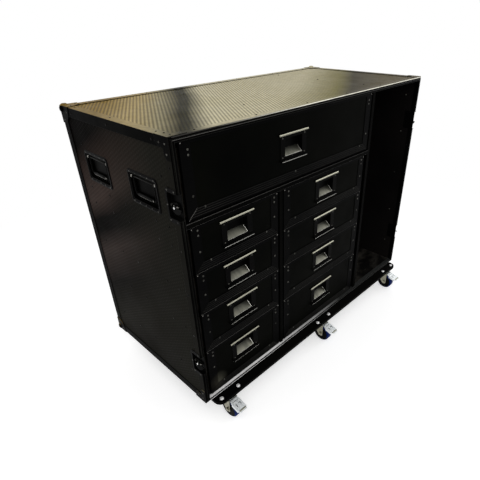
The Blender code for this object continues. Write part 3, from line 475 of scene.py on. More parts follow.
SLIDE = coated("slide_zinc", (0.24, 0.245, 0.245), (0.36, 0.365, 0.36), (0.38, 0.52),
               grain=700, depth=0.00001, specular=0.4, patch=9.0, metallic=0.9, stretch=(1, 0.12, 1))
DRAWN = drawn_sheet()
TOP_BOARD = top_board()
TOP_LEG = top_leg()
# The sill's painted highlight, bright at the left and fading to the right
SILL_HIGHLIGHT = painted_highlight("sill_highlight", 0.16, -0.32, (0.018, 0.019, 0.018), (0.98, 0.97, 0.96),
              specular=0.6, back=FRONT + 0.0135)
# The painted highlight along the top's front edge, brighter to the right
TOP_EDGE_HIGHLIGHT = painted_highlight("top_edge", -0.50, -0.10, (0.014, 0.013, 0.010), (0.96, 0.93, 0.79))
# Painted highlight lines by the gaps: the shelf's edge, the drawers' tops and the line under the top
GAP_HIGHLIGHT = painted_highlight("gap_highlight", 0.60, -0.66, (0.004, 0.004, 0.004), (0.110, 0.106, 0.098))
# The up-facing faces of the drawers' ribs, lighter than the trim: a painted highlight
RIB_HIGHLIGHT = coated("rib", (0.0090, 0.0090, 0.0085), (0.0210, 0.0205, 0.0185), (0.34, 0.46),
             grain=900, depth=0.00003, specular=0.012)
DISH_BLACK = coated("dish_black", (0.0003, 0.0003, 0.0003), (0.0014, 0.0013, 0.0011), (0.34, 0.48),
                    grain=700, depth=0.00004, specular=0.010)
PLY_EDGE = ply_edge()
SCUFFED = scuffed_floor()
BLUE = rubber("blue_tread", (0.001, 0.009, 0.075), (0.002, 0.017, 0.125), rough=0.45)
GRIP = rubber("grip_rubber", (0.0008, 0.0008, 0.0008), (0.0030, 0.0030, 0.0028))


# Pieces

def bevelled(thing, width, wear_and_highlight=None):
    """Rounds the edges of a piece a little, the rounding in a lighter finish if one is given: wear and
    painted highlight.
    """
    edge = thing.modifiers.new("edges", "BEVEL")
    edge.width = width
    edge.segments = 2
    edge.limit_method = "ANGLE"
    edge.angle_limit = math.radians(EASED_ANGLE)
    edge.use_clamp_overlap = False
    if wear_and_highlight:
        thing.data.materials.append(wear_and_highlight.material)
        edge.material = len(thing.data.materials) - 1
    shade = thing.modifiers.new("flats", "WEIGHTED_NORMAL")
    shade.keep_sharp = True
    shade.weight = 100


def carried(node, finish, width=0.0, wear_and_highlight=None):
    """Keeps a CAD node as it is, in a better finish and with its edges eased."""
    thing = nodes[node]
    thing.data.materials.clear()
    thing.data.materials.append(finish.material)
    if width:
        weld = thing.modifiers.new("weld", "WELD")
        weld.merge_threshold = MERGE
        bevelled(thing, width, wear_and_highlight)


def smoothed(thing, angle):
    """Shades a piece smooth, with its edges sharp from an angle in degrees on."""
    thing.data.shade_smooth()
    thing.data.set_sharp_from_angle(angle=math.radians(angle))


def dressed(node, finishes, pick, width=0.0, wear_and_highlight=None):
    """A copy of a CAD node that stands for it, each face in the finish whose number pick returns."""
    bm = bmesh.new()
    bm.from_mesh(nodes[node].data)
    bmesh.ops.remove_doubles(bm, verts=bm.verts, dist=MERGE)
    for face in bm.faces:
        face.material_index = pick(face.calc_center_median(), face.normal)
    thing = shown(f"{node}_dressed", bm, body_of(node), [f.material for f in finishes])
    smoothed(thing, 30)
    if width:
        bevelled(thing, width, wear_and_highlight)
    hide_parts(node)


def body_of(node):
    return nodes[node]["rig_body"]


def shown(name, bm, body, materials):
    """A new piece on a body, made from a mesh, in the given finishes."""
    mesh = bpy.data.meshes.new(name)
    bm.to_mesh(mesh)
    bm.free()
    for material in materials:
        mesh.materials.append(material)
    thing = bpy.data.objects.new(name, mesh)
    bpy.context.scene.collection.objects.link(thing)
    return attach(thing, body)


def facing(direction):
    """A rotation that turns +Z to a direction."""
    return Vector(direction).to_track_quat("Z", "Y").to_matrix().to_4x4()


def banded(bm, rings):
    """Joins each ring of points to the next one by a band of faces."""
    for low, high in zip(rings, rings[1:]):
        for i in range(len(low)):
            j = (i + 1) % len(low)
            bm.faces.new((low[i], low[j], high[j], high[i]))


def lathed(bm, profile, at, direction, sides, inner=None):
    """Adds a small turned head; the innermost ring of a screw is pinched into a cross."""
    place = Matrix.Translation(at) @ facing(direction)
    rings = []
    for number, (radius, height) in enumerate(profile):
        ring = []
        for i in range(sides):
            turn = 2 * math.pi * i / sides
            reach = radius
            if inner and number == len(profile) - 1 and i % (sides // 4):
                reach = radius * inner
            point = Vector((reach * math.cos(turn), reach * math.sin(turn), height))
            ring.append(bm.verts.new(place @ point))
        rings.append(ring)
    banded(bm, rings)
    bm.faces.new(rings[-1])


def heads(name, body, finish, places, radius, height, screw=False):
    """Rivet or screw heads, each at a point and facing a direction, as one piece."""
    if screw:
        profile = ((1.0, -0.1), (1.0, 0.35), (0.86, 0.8), (0.60, 1.0), (0.52, 0.35))
    else:
        profile = ((1.0, -0.1), (0.98, 0.3), (0.80, 0.75), (0.50, 1.0), (0.30, 0.98), (0.24, 0.45))
    rings = [(radius * r, height * h) for r, h in profile]
    bm = bmesh.new()
    for at, direction in places:
        lathed(bm, rings, at, direction, HEAD_SIDES, CROSS if screw else None)
    smoothed(shown(name, bm, body, [finish.material]), 50)


# Body

def side_finish(sign):
    """Numbers the faces of an end wall: laminate, pressed dish, bay film, runner, batten."""
    outer = sign * (HALF - PANEL_OUT)

    def pick(centre, normal):
        depth = (centre.x - outer) * sign
        on_dish = any(abs(centre.y - FRONT - place) < HANDLE_DISH[0] / 2 + 0.001
                      and abs(centre.z - BOTTOM - HANDLE_HEIGHT) < HANDLE_DISH[1] / 2 + 0.001
                      for place in HANDLE_PLACES)
        if on_dish and (depth > 0.0002 or (-0.0100 < depth < 0.0012 and centre.y > FRONT + 0.01)):
            return 1 if abs(depth) > 0.0001 else 0
        if depth < -(PANEL_IN - PANEL_OUT) - 0.0004:
            inward = -(centre.x - sign * (HALF - PANEL_IN)) * sign
            return 4 if inward < 0.0080 and abs(normal.x) < 0.5 and inward > 0.0004 else 3
        if normal.x * sign < -0.5:
            return 2
        return 0

    return pick


def front_lines():
    """Painted highlight lines: along the sill, the bead along the top's front edge and the line below it.
    """
    for name, finish, y, z, width, out in (
            ("sill_line", SILL_HIGHLIGHT, FRONT + 0.0001, BOTTOM + 0.0072, 0.0022, AHEAD),
            ("top_edge_line", TOP_EDGE_HIGHLIGHT, FRONT + 0.0010, TOP - 0.0003, 0.0042, (0, -0.45, 0.89)),
            ("head_line", GAP_HIGHLIGHT, FRONT + 0.0001, TOP - HEAD + 0.0008, 0.0013, AHEAD)):
        bm = bmesh.new()
        reach = HALF - 0.008
        strip(bm, Vector((-reach, y, z)), Vector((reach, y, z)), width, 0.0006, out)
        shown(name, bm, "case", [finish.material])


def divider_pick(node):
    """Numbers the faces of an upright board: film, edging, runner."""
    left, right = board_faces(node)

    def pick(centre, normal):
        if centre.y < FRONT + DIVIDER_EDGING:
            return 1
        on_rail = RAIL_FRONT - 0.0005 < centre.y < RAIL_FRONT + RAIL_LENGTH
        return 2 if on_rail and max(left - centre.x, centre.x - right) > 0.0003 else 0

    return pick


def board_faces(node):
    """The X of both faces of an upright board, read behind its runners."""
    xs = [v.co.x for v in nodes[node].data.vertices if v.co.y > FRONT + RUNNERS_END]
    return min(xs), max(xs)


def front_frame_pick(centre, normal):
    """Numbers the faces of the front frame: black, and in painted light its top leg, sill and outer sides.
    """
    if abs(centre.x) > HALF - 0.0006 and abs(normal.x) > 0.7:
        return 3
    if centre.y < FRONT + SILL_DEPTH and centre.z < BOTTOM + SILL_HEIGHT and normal.z > 0.5:
        return 2
    if centre.z > TOP - 0.001 and normal.z > 0.5:
        return 1
    return 0


def edge_frame_pick(centre, normal):
    """Numbers the faces of the edge frame: black, its top leg in painted reflection, the pressed corners.
    """
    proud = 0.0004
    near_side = abs(centre.x) > HALF - CORNER_REACH
    near_face = centre.y > BACK - CORNER_REACH or centre.y < FRONT + CORNER_REACH
    near_end = centre.z > TOP - CORNER_REACH or centre.z < BOTTOM + CORNER_REACH
    outside = (abs(centre.x) > HALF + proud or centre.y > BACK + proud or centre.z > TOP + proud
               or centre.z < BOTTOM - proud)
    if near_side and near_face and near_end and outside:
        return 1 if normal.z > 0.6 else 2
    return 1 if normal.z > 0.6 and centre.z > TOP - 0.001 else 0


def dress_body():
    carried("top_panel", TOP_BOARD)
    carried("back_panel", BACK_BOARD, 0.0003)
    dressed("front_frame", [ANODISED, TOP_LEG, SILL_HIGHLIGHT, SIDE_LEG], front_frame_pick, 0.0006, EDGE_WEAR_AND_HIGHLIGHT)
    dressed("edge_frame", [ANODISED, TOP_LEG, CORNER], edge_frame_pick, 0.0004, EDGE_WEAR_AND_HIGHLIGHT)
    dressed("bottom_panel", [LEDGE_FILM, SCUFFED], lambda c, n: 1 if n.z > 0.5 else 0, 0.0003)
    wall_finishes = [SIDE_BOARD, DISH_BLACK, BAY_FILM, DULL_ZINC, BAY_FILM]
    for side, sign in SIDES:
        dressed(f"{side}_side_panel", wall_finishes, side_finish(sign), 0.0003, FAINT_EDGE)
    for node in ("column_divider", "compartment_divider"):
        dressed(node, [BAY_FILM, ANODISED, DULL_ZINC], divider_pick(node), 0.0003, FAINT_EDGE)
    dressed("drawer_shelf", [BAY_FILM, ANODISED], lambda c, n: 1 if c.y < FRONT + SHELF_EDGING else 0,
            0.0006, GAP_HIGHLIGHT)


def board_pick(centre, normal):
    """Numbers the faces of the caster board: film, domed bolts, zinc plates."""
    board_low, board_high = BOTTOM - 0.0126, BOTTOM - 0.0002
    on_dome = 0.2 < normal.z < 0.99 and centre.z > board_high - 0.0009
    if centre.z > board_high + 0.0002 or on_dome:
        return 1
    return 2 if centre.z < board_low - 0.0001 else 0


def angle_rivets():
    """Rivets through the edge extrusions."""
    d = ANGLE_RIVET
    lift = 0.0001
    places = []
    along_x = [-0.56, -0.34, -0.11, 0.11, 0.34, 0.56]
    along_y = [0.080, 0.315, 0.545]
    along_z = [0.090, 0.330, 0.560, 0.850]
    for x in along_x:
        places += [((x, FRONT + d + 0.004, TOP - lift), (0, 0, 1)), ((x, BACK - d, TOP - lift), (0, 0, 1)),
                   ((x, BACK - lift, TOP - d), (0, 1, 0)), ((x, BACK - lift, BOTTOM + d), (0, 1, 0))]
    for sign in (-1, 1):
        for y in along_y:
            places += [((sign * (HALF - lift), FRONT + y, z), (sign, 0, 0)) for z in (TOP - d, BOTTOM + d)]
            places.append(((sign * (HALF - d), FRONT + y, TOP - lift), (0, 0, 1)))
        for z in along_z:
            places.append(((sign * (HALF - lift), BACK - d, BOTTOM + z), (sign, 0, 0)))
            places.append(((sign * (HALF - d), BACK - lift, BOTTOM + z), (0, 1, 0)))
        for z in (0.045, 0.310, 0.470, 0.620, 0.860):
            places.append(((sign * (HALF - lift), FRONT + d + 0.002, BOTTOM + z), (sign, 0, 0)))
    return places


def corner_rivets():
    """Rivets on the pressed ball corners at the back and on the braces at the front."""
    places = []
    proud = 0.0018
    for sign in (-1, 1):
        for z, rise in ((BOTTOM, 1), (TOP, -1)):
            for a, b in ((0.042, 0.017), (0.017, 0.042)):
                places += [((sign * (HALF + proud), BACK - a, z + rise * b), (sign, 0, 0)),
                           ((sign * (HALF - a), BACK + proud, z + rise * b), (0, 1, 0)),
                           ((sign * (HALF - a), BACK - b, z - rise * proud), (0, 0, -rise))]
            for a, b in ((0.0195, 0.017), (0.045, 0.017), (0.0165, 0.043)):
                places.append(((sign * (HALF + proud), FRONT + a, z + rise * b), (sign, 0, 0)))
                if rise < 0:
                    places.append(((sign * (HALF - b), FRONT + a, z + proud), (0, 0, 1)))
    return places


def wall_screws():
    """Screws through the left wall, the top and the back into runners, battens and dividers."""
    places = []
    runner_heights = [0.829, 0.620, 0.468, 0.316, 0.127]
    columns = (0.066, 0.131, 0.301, 0.404, 0.528)
    lift = PANEL_OUT + 0.0001
    for z in runner_heights:
        places += [((-HALF + lift, FRONT + y, BOTTOM + z), (-1, 0, 0)) for y in columns
                   if not (z > 0.7 and 0.09 < y < 0.52)]
    places += [((-HALF + lift, FRONT + y, BOTTOM + 0.680), (-1, 0, 0)) for y in columns]
    places += [((0.3265, FRONT + y, TOP - lift), (0, 0, 1)) for y in (0.088, 0.318, 0.549)]
    places += [((-0.258, FRONT + y, TOP - lift), (0, 0, 1)) for y in (0.160, 0.480)]
    places += [((x, BACK - lift, BOTTOM + z), (0, 1, 0)) for x in (-0.249, 0.282)
               for z in (0.12, 0.35, 0.58)]
    places += [((x, BACK - lift, BOTTOM + 0.694), (0, 1, 0)) for x in (-0.52, -0.1, 0.14)]
    return places


def bay_screws():
    """Screws on the right wall's inside, behind the bay's front edge."""
    x = HALF - PANEL_IN - 0.0001
    return [((x, FRONT + 0.055, BOTTOM + z), (-1, 0, 0)) for z in (0.12, 0.30, 0.50, 0.70, 0.86)]


def dish_rivets():
    """Rivets round the handle dishes, then round the latch dishes."""
    handles, latches = [], []
    for sign in (-1, 1):
        for place in HANDLE_PLACES:
            for dy in (-0.062, -0.031, 0.0, 0.031, 0.062):
                for dz in (-0.0455, 0.0455):
                    at = (sign * (HALF - 0.0004), FRONT + place + dy, BOTTOM + HANDLE_HEIGHT + dz)
                    handles.append((at, (sign, 0, 0)))
        for height in LATCH_HEIGHTS:
            for dy, dz in ((0.050, 0.0), (0.044, 0.0435), (0.044, -0.0435), (0.013, 0.0435),
                           (0.013, -0.0435)):
                at = (sign * (HALF + 0.0012), FRONT + dy, BOTTOM + height + dz)
                latches.append((at, (sign, 0, 0)))
    return handles + latches


# Drawers

def drawer_pick(node):
    """Numbers the faces of a drawer: film, trim, tray, ply edge, slide, the painted highlights on the
    trim's ribs and top.
    """
    points = [v.co for v in nodes[node].data.vertices]
    tray_top = max(p.z for p in points if p.y > FRONT + TRAY_FRONT)
    walls = [p.x for p in points if p.y > FRONT + TRAY_BACK]
    left, right = min(walls), max(walls)
    bottom, top = drawer_front(node)[2:]

    def pick(centre, normal):
        # Painted highlights: the trim's up-facing top face, then the ribs' up-facing faces on the foot
        if centre.y < BOARD_FACE + 0.0008 and centre.z > top - 0.0004 and normal.z > 0.7:
            return 6
        if centre.y < BOARD_FACE - 0.0002:
            return 5 if normal.z > 0.2 and centre.z < bottom + FOOT else 1
        if centre.y < BOARD_FACE + 0.0008:
            return 0 if normal.y < -0.5 else 1
        if centre.y < BOARD_FACE + FRONT_BOARD + 0.0002:
            return 2 if normal.y > 0.5 else 1
        if centre.x < left - 0.0004 or centre.x > right + 0.0004:
            return 4
        return 3 if centre.z > tray_top - 0.0005 and centre.y > FRONT + 0.060 else 2

    return pick


def pull_pick(node):
    """Numbers the faces of a pull: black flange, upper lip in a painted highlight, drawn floor."""
    low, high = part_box(node)
    middle = (low + high) / 2
    lip = 0.0075
    half_mouth = 0.0421

    def pick(centre, normal):
        if centre.z > high.z - lip and centre.y < low.y + 0.0086:
            return 1
        inside = abs(centre.x - middle.x) < half_mouth and centre.y > low.y + 0.007
        if inside and normal.z > 0.3 and centre.y < high.y - 0.001:
            return 2
        return 0

    return pick


def strip(bm, a, b, width, rise, out):
    """Adds a thin half-round strip between two points, raised along one direction."""
    along = (b - a).normalized()
    out = Vector(out)
    side = along.cross(out).normalized() * (width / 2)
    ends = [[bm.verts.new(p + side * x + out * (rise * h)) for x, h in
             ((-1, -0.3), (-0.7, 0.7), (0, 1), (0.7, 0.7), (1, -0.3))] for p in (a, b)]
    for i in range(4):
        bm.faces.new((ends[0][i], ends[0][i + 1], ends[1][i + 1], ends[1][i]))
    for ring in ends:
        bm.faces.new(ring)
    bmesh.ops.recalc_face_normals(bm, faces=bm.faces)


def pull_lines(node):
    """The hem along a pull's lower lip and the folds at both ends of its floor, as bright strips: painted
    highlights.
    """
    low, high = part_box(f"{node}_pull")
    middle = (low + high) / 2
    bm = bmesh.new()
    half = (high.x - low.x) / 2 - 0.008
    floor_front = low.z + 0.0035 + 0.013 + 0.0004
    for reach, y, z, width in ((half, low.y + 0.0006, low.z + 0.0022, 0.0024),
                               (0.0405, low.y + 0.0078, floor_front + 0.0004, 0.0012)):
        ends = [Vector((x, y, z)) for x in (middle.x - reach, middle.x + reach)]
        strip(bm, *ends, width, 0.0005, AHEAD)
    for end in (-1, 1):
        x = middle.x + end * 0.0413
        near = Vector((x, low.y + 0.009, floor_front))
        far = Vector((x, high.y - 0.0035, floor_front + 0.0165))
        strip(bm, near, far, 0.0022, 0.0009, (0, -0.66, 0.75))
    shown(f"{node}_pull_lines", bm, node, [HEM_HIGHLIGHT.material])


def drawer_front(node):
    """Left, right, bottom and top of a drawer's front, read from its trim."""
    points = [v.co for v in nodes[node].data.vertices if v.co.y < BOARD_FACE - 0.0010]
    return (min(p.x for p in points), max(p.x for p in points), min(p.z for p in points),
            max(p.z for p in points))


def mitres(node):
    """Fine joints where the foot of the trim meets the stiles, drawn as bright lines: painted highlights,
    the left brighter.
    """
    left, right, bottom = drawer_front(node)[:3]
    y = BOARD_FACE - 0.0016
    bm = bmesh.new()
    for edge, inward in ((left, 1), (right, -1)):
        a = Vector((edge + inward * 0.0012, y, bottom + 0.0011))
        b = Vector((edge + inward * (STILE - 0.001), y, bottom + FOOT - 0.0009))
        strip(bm, a, b, 0.0011, 0.0004, AHEAD)
    for face in bm.faces:
        if face.calc_center_median().x > (left + right) / 2:
            face.material_index = 1
    left_highlight = NICKEL_AND_GLINT if node == "top_drawer" else EDGE_WEAR_AND_HIGHLIGHT
    shown(f"{node}_mitres", bm, node, [left_highlight.material, FAINT_EDGE.material])


def dress_drawers():
    finishes = [FRONT_FILM, TRIM_BLACK, TRAY_FILM, PLY_EDGE, SLIDE, RIB_HIGHLIGHT, GAP_HIGHLIGHT]
    pull_finishes = [BLACK_STEEL, LIP_HIGHLIGHT, DRAWN]
    for node in DRAWERS:
        dressed(node, finishes, drawer_pick(node), 0.0003)
        dressed(f"{node}_pull", pull_finishes, pull_pick(f"{node}_pull"), 0.0004, FAINT_EDGE)
        pull_lines(node)
        left, right, bottom, top = drawer_front(node)
        face = BOARD_FACE - 0.0017
        drops = (0.024, 0.038, 0.150) if node == "top_drawer" else (0.014, 0.030, 0.083)
        places = [((x, face, top - drop), AHEAD) for drop in drops for x in (left + 0.024, right - 0.018)]
        on_foot = [left + 0.060, right - 0.057]
        if node == "top_drawer":
            on_foot.append((left + right) / 2)
        places += [((x, face - 0.0002, bottom + 0.0265), AHEAD) for x in on_foot]
        heads(f"{node}_rivets", node, DULL_RIVET_AND_GLINT, places, 0.0034, 0.0016)
        # Small bright studs at the fronts' top corners: painted glints
        glints = [((x, face, top - 0.0045), AHEAD) for x in (left + 0.0045, right - 0.0045)]
        heads(f"{node}_corner_glints", node, NICKEL_AND_GLINT, glints, 0.0018, 0.0010)
        low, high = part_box(f"{node}_pull")
        middle = (low + high) / 2
        corners = [((middle.x + dx, low.y + 0.0069, middle.z + dz), AHEAD)
                   for dx in (-0.0535, 0.0535) for dz in (-0.031, 0.031)]
        heads(f"{node}_pull_rivets", node, DULL_RIVET_AND_GLINT, corners, 0.0026, 0.0012)
        mitres(node)


# Handles, latches and casters

def coil(bm, start, end, radius, wire, turns):
    """Adds a close coil spring between two points on a line along Y."""
    steps_a_turn, wire_sides = 10, 6
    steps = turns * steps_a_turn
    rings = []
    for i in range(steps + 1):
        share = i / steps
        turn = 2 * math.pi * turns * share
        outward = Vector((math.cos(turn), 0, math.sin(turn)))
        centre = Vector(start).lerp(Vector(end), share) + outward * radius
        spokes = [math.cos(t) * outward + math.sin(t) * Vector((0, 1, 0))
                  for t in [2 * math.pi * k / wire_sides for k in range(wire_sides)]]
        rings.append([bm.verts.new(centre + wire * spoke) for spoke in spokes])
    banded(bm, rings)
    bm.faces.new(rings[0])
    bm.faces.new(rings[-1])


def rounded_loop(width, height, radius, steps=6):
    """Points of a rectangle with round corners, going round once."""
    points = []
    for n, (sx, sy) in enumerate(((1, 1), (-1, 1), (-1, -1), (1, -1))):
        for i in range(steps + 1):
            turn = math.pi / 2 * (n + i / steps)
            points.append((sx * (width / 2 - radius) + radius * math.cos(turn),
                           sy * (height / 2 - radius) + radius * math.sin(turn)))
    return points


def rim(name, sign, y, z):
    """The pressed rim round a handle's pocket: a low rounded bead on the dish's flange."""
    bm = bmesh.new()
    rings = []
    for inset, rise in ((0.0008, -0.0004), (0.0016, 0.0009), (0.0045, 0.0016), (0.0080, 0.0013),
                        (0.0105, -0.0004)):
        loop = rounded_loop(HANDLE_DISH[0] - 2 * inset, HANDLE_DISH[1] - 2 * inset, 0.012 - inset * 0.6)
        x = sign * (HALF - PANEL_OUT + 0.0010 + rise)
        rings.append([bm.verts.new((x, y + a, z + b)) for a, b in loop])
    banded(bm, rings)
    bmesh.ops.recalc_face_normals(bm, faces=bm.faces)
    shown(name, bm, "case", [BLACK_STEEL.material]).data.shade_smooth()


def dress_handles():
    for side, sign in SIDES:
        for row in ("front", "rear"):
            node = f"{side}_{row}_handle_bail"
            low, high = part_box(node)
            middle = (low + high) / 2
            grip_top = low.z + 0.0093

            def pick(centre, normal, middle=middle, grip_top=grip_top):
                return 1 if centre.z < grip_top and abs(centre.y - middle.y) < GRIP_HALF else 0

            dressed(node, [BLACK_STEEL, GRIP], pick)
            bm = bmesh.new()
            pin = Vector((sign * (HALF - BAIL_PIN_DEPTH), middle.y, high.z - 0.0035))
            rim(f"{side}_{row}_handle_rim", sign, middle.y, BOTTOM + HANDLE_HEIGHT)
            for end in (-1, 1):
                coil(bm, pin + Vector((0, end * 0.0585, 0)), pin + Vector((0, end * 0.0638, 0)), 0.0044,
                     0.0006, 4)
            spring = shown(f"{side}_{row}_handle_springs", bm, "case", [NICKEL_AND_GLINT.material])
            spring.data.shade_smooth()
            bm = bmesh.new()
            profile = [(0.0023, 0.0), (0.0026, 0.0006), (0.0026, 0.0990), (0.0023, 0.0996),
                       (0.0010, 0.0996)]
            lathed(bm, profile, pin - Vector((0, 0.0498, 0)), (0, 1, 0), HEAD_SIDES)
            rod = shown(f"{side}_{row}_handle_rod", bm, "case", [EDGE_WEAR_AND_HIGHLIGHT.material])
            rod.data.shade_smooth()
            # A thin bright line low along the bail's grip and a bright stud near its end: painted
            # highlights
            outer = high.x if sign > 0 else low.x
            bm = bmesh.new()
            ends = [Vector((outer, middle.y + reach, low.z + 0.0030)) for reach in (-0.036, 0.036)]
            strip(bm, *ends, 0.0014, 0.0004, (sign, 0, 0))
            shown(f"{node}_line", bm, node, [DULL_RIVET_AND_GLINT.material])
            at = Vector((outer, middle.y - 0.0410, low.z + 0.0060))
            heads(f"{node}_stud", node, NICKEL_AND_GLINT, [(at, (sign, 0, 0))], 0.0024, 0.0010)


def rotor_pick(sign):
    """Numbers the faces of a latch's rotor: black, bright at the outside."""

    def pick(centre, normal):
        return 1 if centre.x * sign > HALF - ROTOR_BRIGHT else 0

    return pick


def wing_stud(node, sign):
    """The bright domed stud low on a wing's outer face, set by the wing's own plane."""
    faces = [p for p in nodes[node].data.polygons if p.normal.x * sign > 0.2 and abs(p.normal.y) < 0.1]
    blade = max(faces, key=lambda p: p.area)
    normal = blade.normal.copy()
    down = Vector((normal.z, 0, -normal.x)) * sign
    low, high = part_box(node)
    pin = Vector((sign * (HALF - WING_PIN_DEPTH), (low.y + high.y) / 2 + 0.0085, wing_pin_height(node)))
    off = (blade.center - pin).dot(normal)
    heads(f"{node}_stud", node, BOLT, [(pin + normal * off + down * 0.0068, normal)], 0.0032, 0.0016)


def wing_pin_height(node):
    """Z of a wing's pin line: the height of its latch."""
    return BOTTOM + (LATCH_HEIGHTS[0] if "upper" in node else LATCH_HEIGHTS[1])


def dress_latches():
    for side, sign in SIDES:
        for level in ("upper", "lower"):
            place = f"{side}_{level}"
            carried(f"{place}_latch_dish", BLACK_STEEL, 0.0003, FAINT_EDGE)
            dressed(f"{place}_latch_rotor", [BLACK_STEEL, NICKEL_AND_GLINT], rotor_pick(sign), 0.0003, FAINT_EDGE)
            carried(f"{place}_latch_wing", BLACK_STEEL, 0.0004, EDGE_WEAR_AND_HIGHLIGHT)
            wing_stud(f"{place}_latch_wing", sign)


def wheel_pick(node):
    """Numbers the faces of a wheel: tread, hub."""
    low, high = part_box(node)
    middle = (low + high) / 2
    hub_reach = 0.02

    def pick(centre, normal):
        reach = math.hypot(centre.y - middle.y, centre.z - middle.z)
        return 0 if abs(normal.x) < 0.9 and reach > hub_reach else 1

    return pick


def wheel_hub(name):
    """Both faces of a hub: a rim, a sunk web and a boss."""
    low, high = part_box(f"{name}_caster_wheel")
    middle = (low + high) / 2
    bm = bmesh.new()
    for side in (-1, 1):
        place = Vector((middle.x + side * 0.0156, middle.y, middle.z))
        profile = [(0.0300, 0.0), (0.0285, 0.0008), (0.0270, 0.0008), (0.0262, 0.0002), (0.0150, 0.0002),
                   (0.0135, 0.0012), (0.0085, 0.0012), (0.0080, 0.0004)]
        lathed(bm, profile, place, (side, 0, 0), HUB_SIDES)
    hub = shown(f"{name}_hub", bm, f"{name}_caster_wheel", [HUB_BLACK.material])
    smoothed(hub, 40)


def pedal(name):
    """The pedal, with its dark marks (an upright, an angle, a line across) and a bead along its end."""
    node = f"{name}_brake_pedal"
    dressed(node, [ZINC], lambda c, n: 0, 0.0006)
    plate = max((p for p in nodes[node].data.polygons if p.normal.z > 0.8), key=lambda p: p.area)
    up = plate.normal.copy()
    ahead = Vector((0, -up.z, up.y))
    low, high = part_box(node)
    middle = (low + high) / 2
    origin = Vector((middle.x, middle.y, 0))
    origin.z = plate.center.z - (origin - plate.center).dot(Vector((up.x, up.y, 0))) / up.z

    def mark(bm, points, width, rise):
        for a, b in zip(points, points[1:]):
            ends = [origin + Vector((x, 0, 0)) + ahead * y for x, y in (a, b)]
            strip(bm, *ends, width, rise, up)

    bm = bmesh.new()
    mark(bm, [(-0.0080, -0.002), (-0.0080, 0.010)], 0.0034, 0.00025)
    mark(bm, [(0.0040, 0.000), (0.0120, 0.000)], 0.0030, 0.00025)
    mark(bm, [(0.0108, 0.000), (0.0108, 0.008)], 0.0030, 0.00025)
    mark(bm, [(-0.014, -0.013), (0.014, -0.013)], 0.0016, 0.00020)
    shown(f"{node}_marks", bm, node, [GRIP.material])
    bm = bmesh.new()
    mark(bm, [(-0.0150, 0.0270), (0.0150, 0.0270)], 0.0060, 0.0010)
    shown(f"{node}_bead", bm, node, [DULL_ZINC.material])


def dress_casters():
    dressed("caster_board", [LEDGE_FILM, BOLT, DULL_ZINC], board_pick, 0.0004)
    for name in CASTERS:
        carried(f"{name}_caster_fork", DULL_ZINC, 0.0004)
        dressed(f"{name}_caster_wheel", [BLUE, HUB_BLACK], wheel_pick(f"{name}_caster_wheel"), 0.0012)
        wheel_hub(name)
        if name.startswith("front"):
            pedal(name)


# Studio

def studio():
    """A white floor and backdrop, a soft key lamp, a soft fill and a soft lamp at the rear."""
    world = bpy.data.worlds.new("studio")
    bpy.context.scene.world = world
    world.use_nodes = True
    tree = world.node_tree
    path = tree.nodes.new("ShaderNodeLightPath")
    seen = path.outputs["Is Camera Ray"]
    for name in ("Is Glossy Ray", "Is Transmission Ray"):
        either = tree.nodes.new("ShaderNodeMath")
        either.operation = "MAXIMUM"
        tree.links.new(seen, either.inputs[0])
        tree.links.new(path.outputs[name], either.inputs[1])
        seen = either.outputs[0]
    strength = tree.nodes.new("ShaderNodeMapRange")
    strength.inputs["To Min"].default_value = WORLD_LIGHT
    strength.inputs["To Max"].default_value = 1.0
    tree.links.new(seen, strength.inputs["Value"])
    tree.links.new(strength.outputs["Result"], tree.nodes["Background"].inputs["Strength"])
    tree.nodes["Background"].inputs["Color"].default_value = (1, 1, 1, 1)

    bm = bmesh.new()
    bmesh.ops.create_grid(bm, x_segments=1, y_segments=1, size=30)
    mesh = bpy.data.meshes.new("floor")
    bm.to_mesh(mesh)
    bm.free()
    floor = bpy.data.objects.new("floor", mesh)
    bpy.context.scene.collection.objects.link(floor)
    mesh.materials.append(floor_finish())

    for name, at, size, watts in LAMPS:
        data = bpy.data.lights.new(name, "AREA")
        data.shape = "SQUARE"
        data.size = size
        data.energy = watts
        lamp = bpy.data.objects.new(name, data)
        bpy.context.scene.collection.objects.link(lamp)
        lamp.location = at
        aim = Vector((0, 0, 0.5)) - Vector(at)
        lamp.rotation_euler = aim.to_track_quat("-Z", "Y").to_euler()


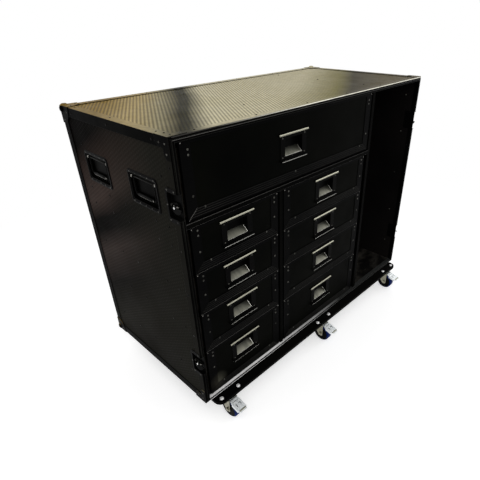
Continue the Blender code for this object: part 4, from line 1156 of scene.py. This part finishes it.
def floor_finish():
    """White near the case, where it keeps the soft shadow, and as bright as the backdrop further out."""
    material = bpy.data.materials.new("floor_white")
    material.use_nodes = True
    tree = material.node_tree
    tree.nodes.remove(tree.nodes["Principled BSDF"])

    def node(kind, inputs=(), **settings):
        made = tree.nodes.new(kind)
        for key, value in settings.items():
            setattr(made, key, value)
        for key, value in dict(inputs).items():
            if isinstance(value, bpy.types.NodeSocket):
                tree.links.new(value, made.inputs[key])
            else:
                made.inputs[key].default_value = value
        return made.outputs

    path = node("ShaderNodeLightPath")
    seen = node("ShaderNodeMath", {0: path["Is Camera Ray"], 1: path["Is Glossy Ray"]},
                operation="MAXIMUM")[0]
    seen = node("ShaderNodeMath", {0: seen, 1: path["Is Transmission Ray"]}, operation="MAXIMUM")[0]
    place = node("ShaderNodeTexCoord")["Object"]
    away = node("ShaderNodeVectorMath", {0: place}, operation="LENGTH")["Value"]
    far = node("ShaderNodeMapRange", {"Value": away, "From Min": FLOOR_FADE[0],
                                      "From Max": FLOOR_FADE[1]})["Result"]
    lift = node("ShaderNodeMath", {0: seen, 1: FLOOR_LIFT}, operation="MULTIPLY")[0]
    matt = node("ShaderNodeBsdfDiffuse", {"Color": (0.80, 0.80, 0.80, 1)})[0]
    glow = node("ShaderNodeEmission", {"Strength": lift})[0]
    near = node("ShaderNodeAddShader", {0: matt, 1: glow})[0]
    white = node("ShaderNodeEmission", {"Strength": 1.0})[0]
    share = node("ShaderNodeMath", {0: seen, 1: far}, operation="MULTIPLY")[0]
    mixed = node("ShaderNodeMixShader", {0: share, 1: near, 2: white})[0]
    tree.links.new(mixed, tree.nodes["Material Output"].inputs["Surface"])
    return material


def camera():
    """The photograph's viewpoint, found from the case's corners and its nine equal pulls."""
    data = bpy.data.cameras.new("camera")
    data.sensor_width = 36.0
    data.lens = 30.279
    data.shift_x = -0.0669
    data.shift_y = 0.0321
    data.clip_start = 0.05
    data.clip_end = 100
    view = bpy.data.objects.new("camera", data)
    bpy.context.scene.collection.objects.link(view)
    right = Vector((0.686689, -0.726804, -0.014629))
    up = Vector((0.384328, 0.345887, 0.855952))
    back = Vector((-0.617049, -0.593396, 0.516848))
    turn = Matrix((right, up, back)).transposed().to_4x4()
    view.matrix_world = Matrix.Translation((-1.1742, FRONT - 0.8347, BOTTOM + 1.1889)) @ turn
    bpy.context.scene.camera = view


dress_body()
dress_drawers()
dress_handles()
dress_latches()
dress_casters()
heads("case_rivets", "case", BLACK_SCREW, angle_rivets(), 0.0030, 0.0012)
heads("corner_rivets", "case", DULL_RIVET_AND_GLINT, corner_rivets(), 0.0028, 0.0014)
heads("dish_rivets", "case", DULL_RIVET_AND_GLINT, dish_rivets(), 0.0026, 0.0010)
heads("wall_screws", "case", BLACK_SCREW, wall_screws(), 0.0036, 0.0012, screw=True)
heads("bay_screws", "case", DULL_RIVET_AND_GLINT, bay_screws(), 0.0032, 0.0012, screw=True)
front_lines()
studio()
camera()
bpy.context.scene.view_settings.view_transform = "Standard"
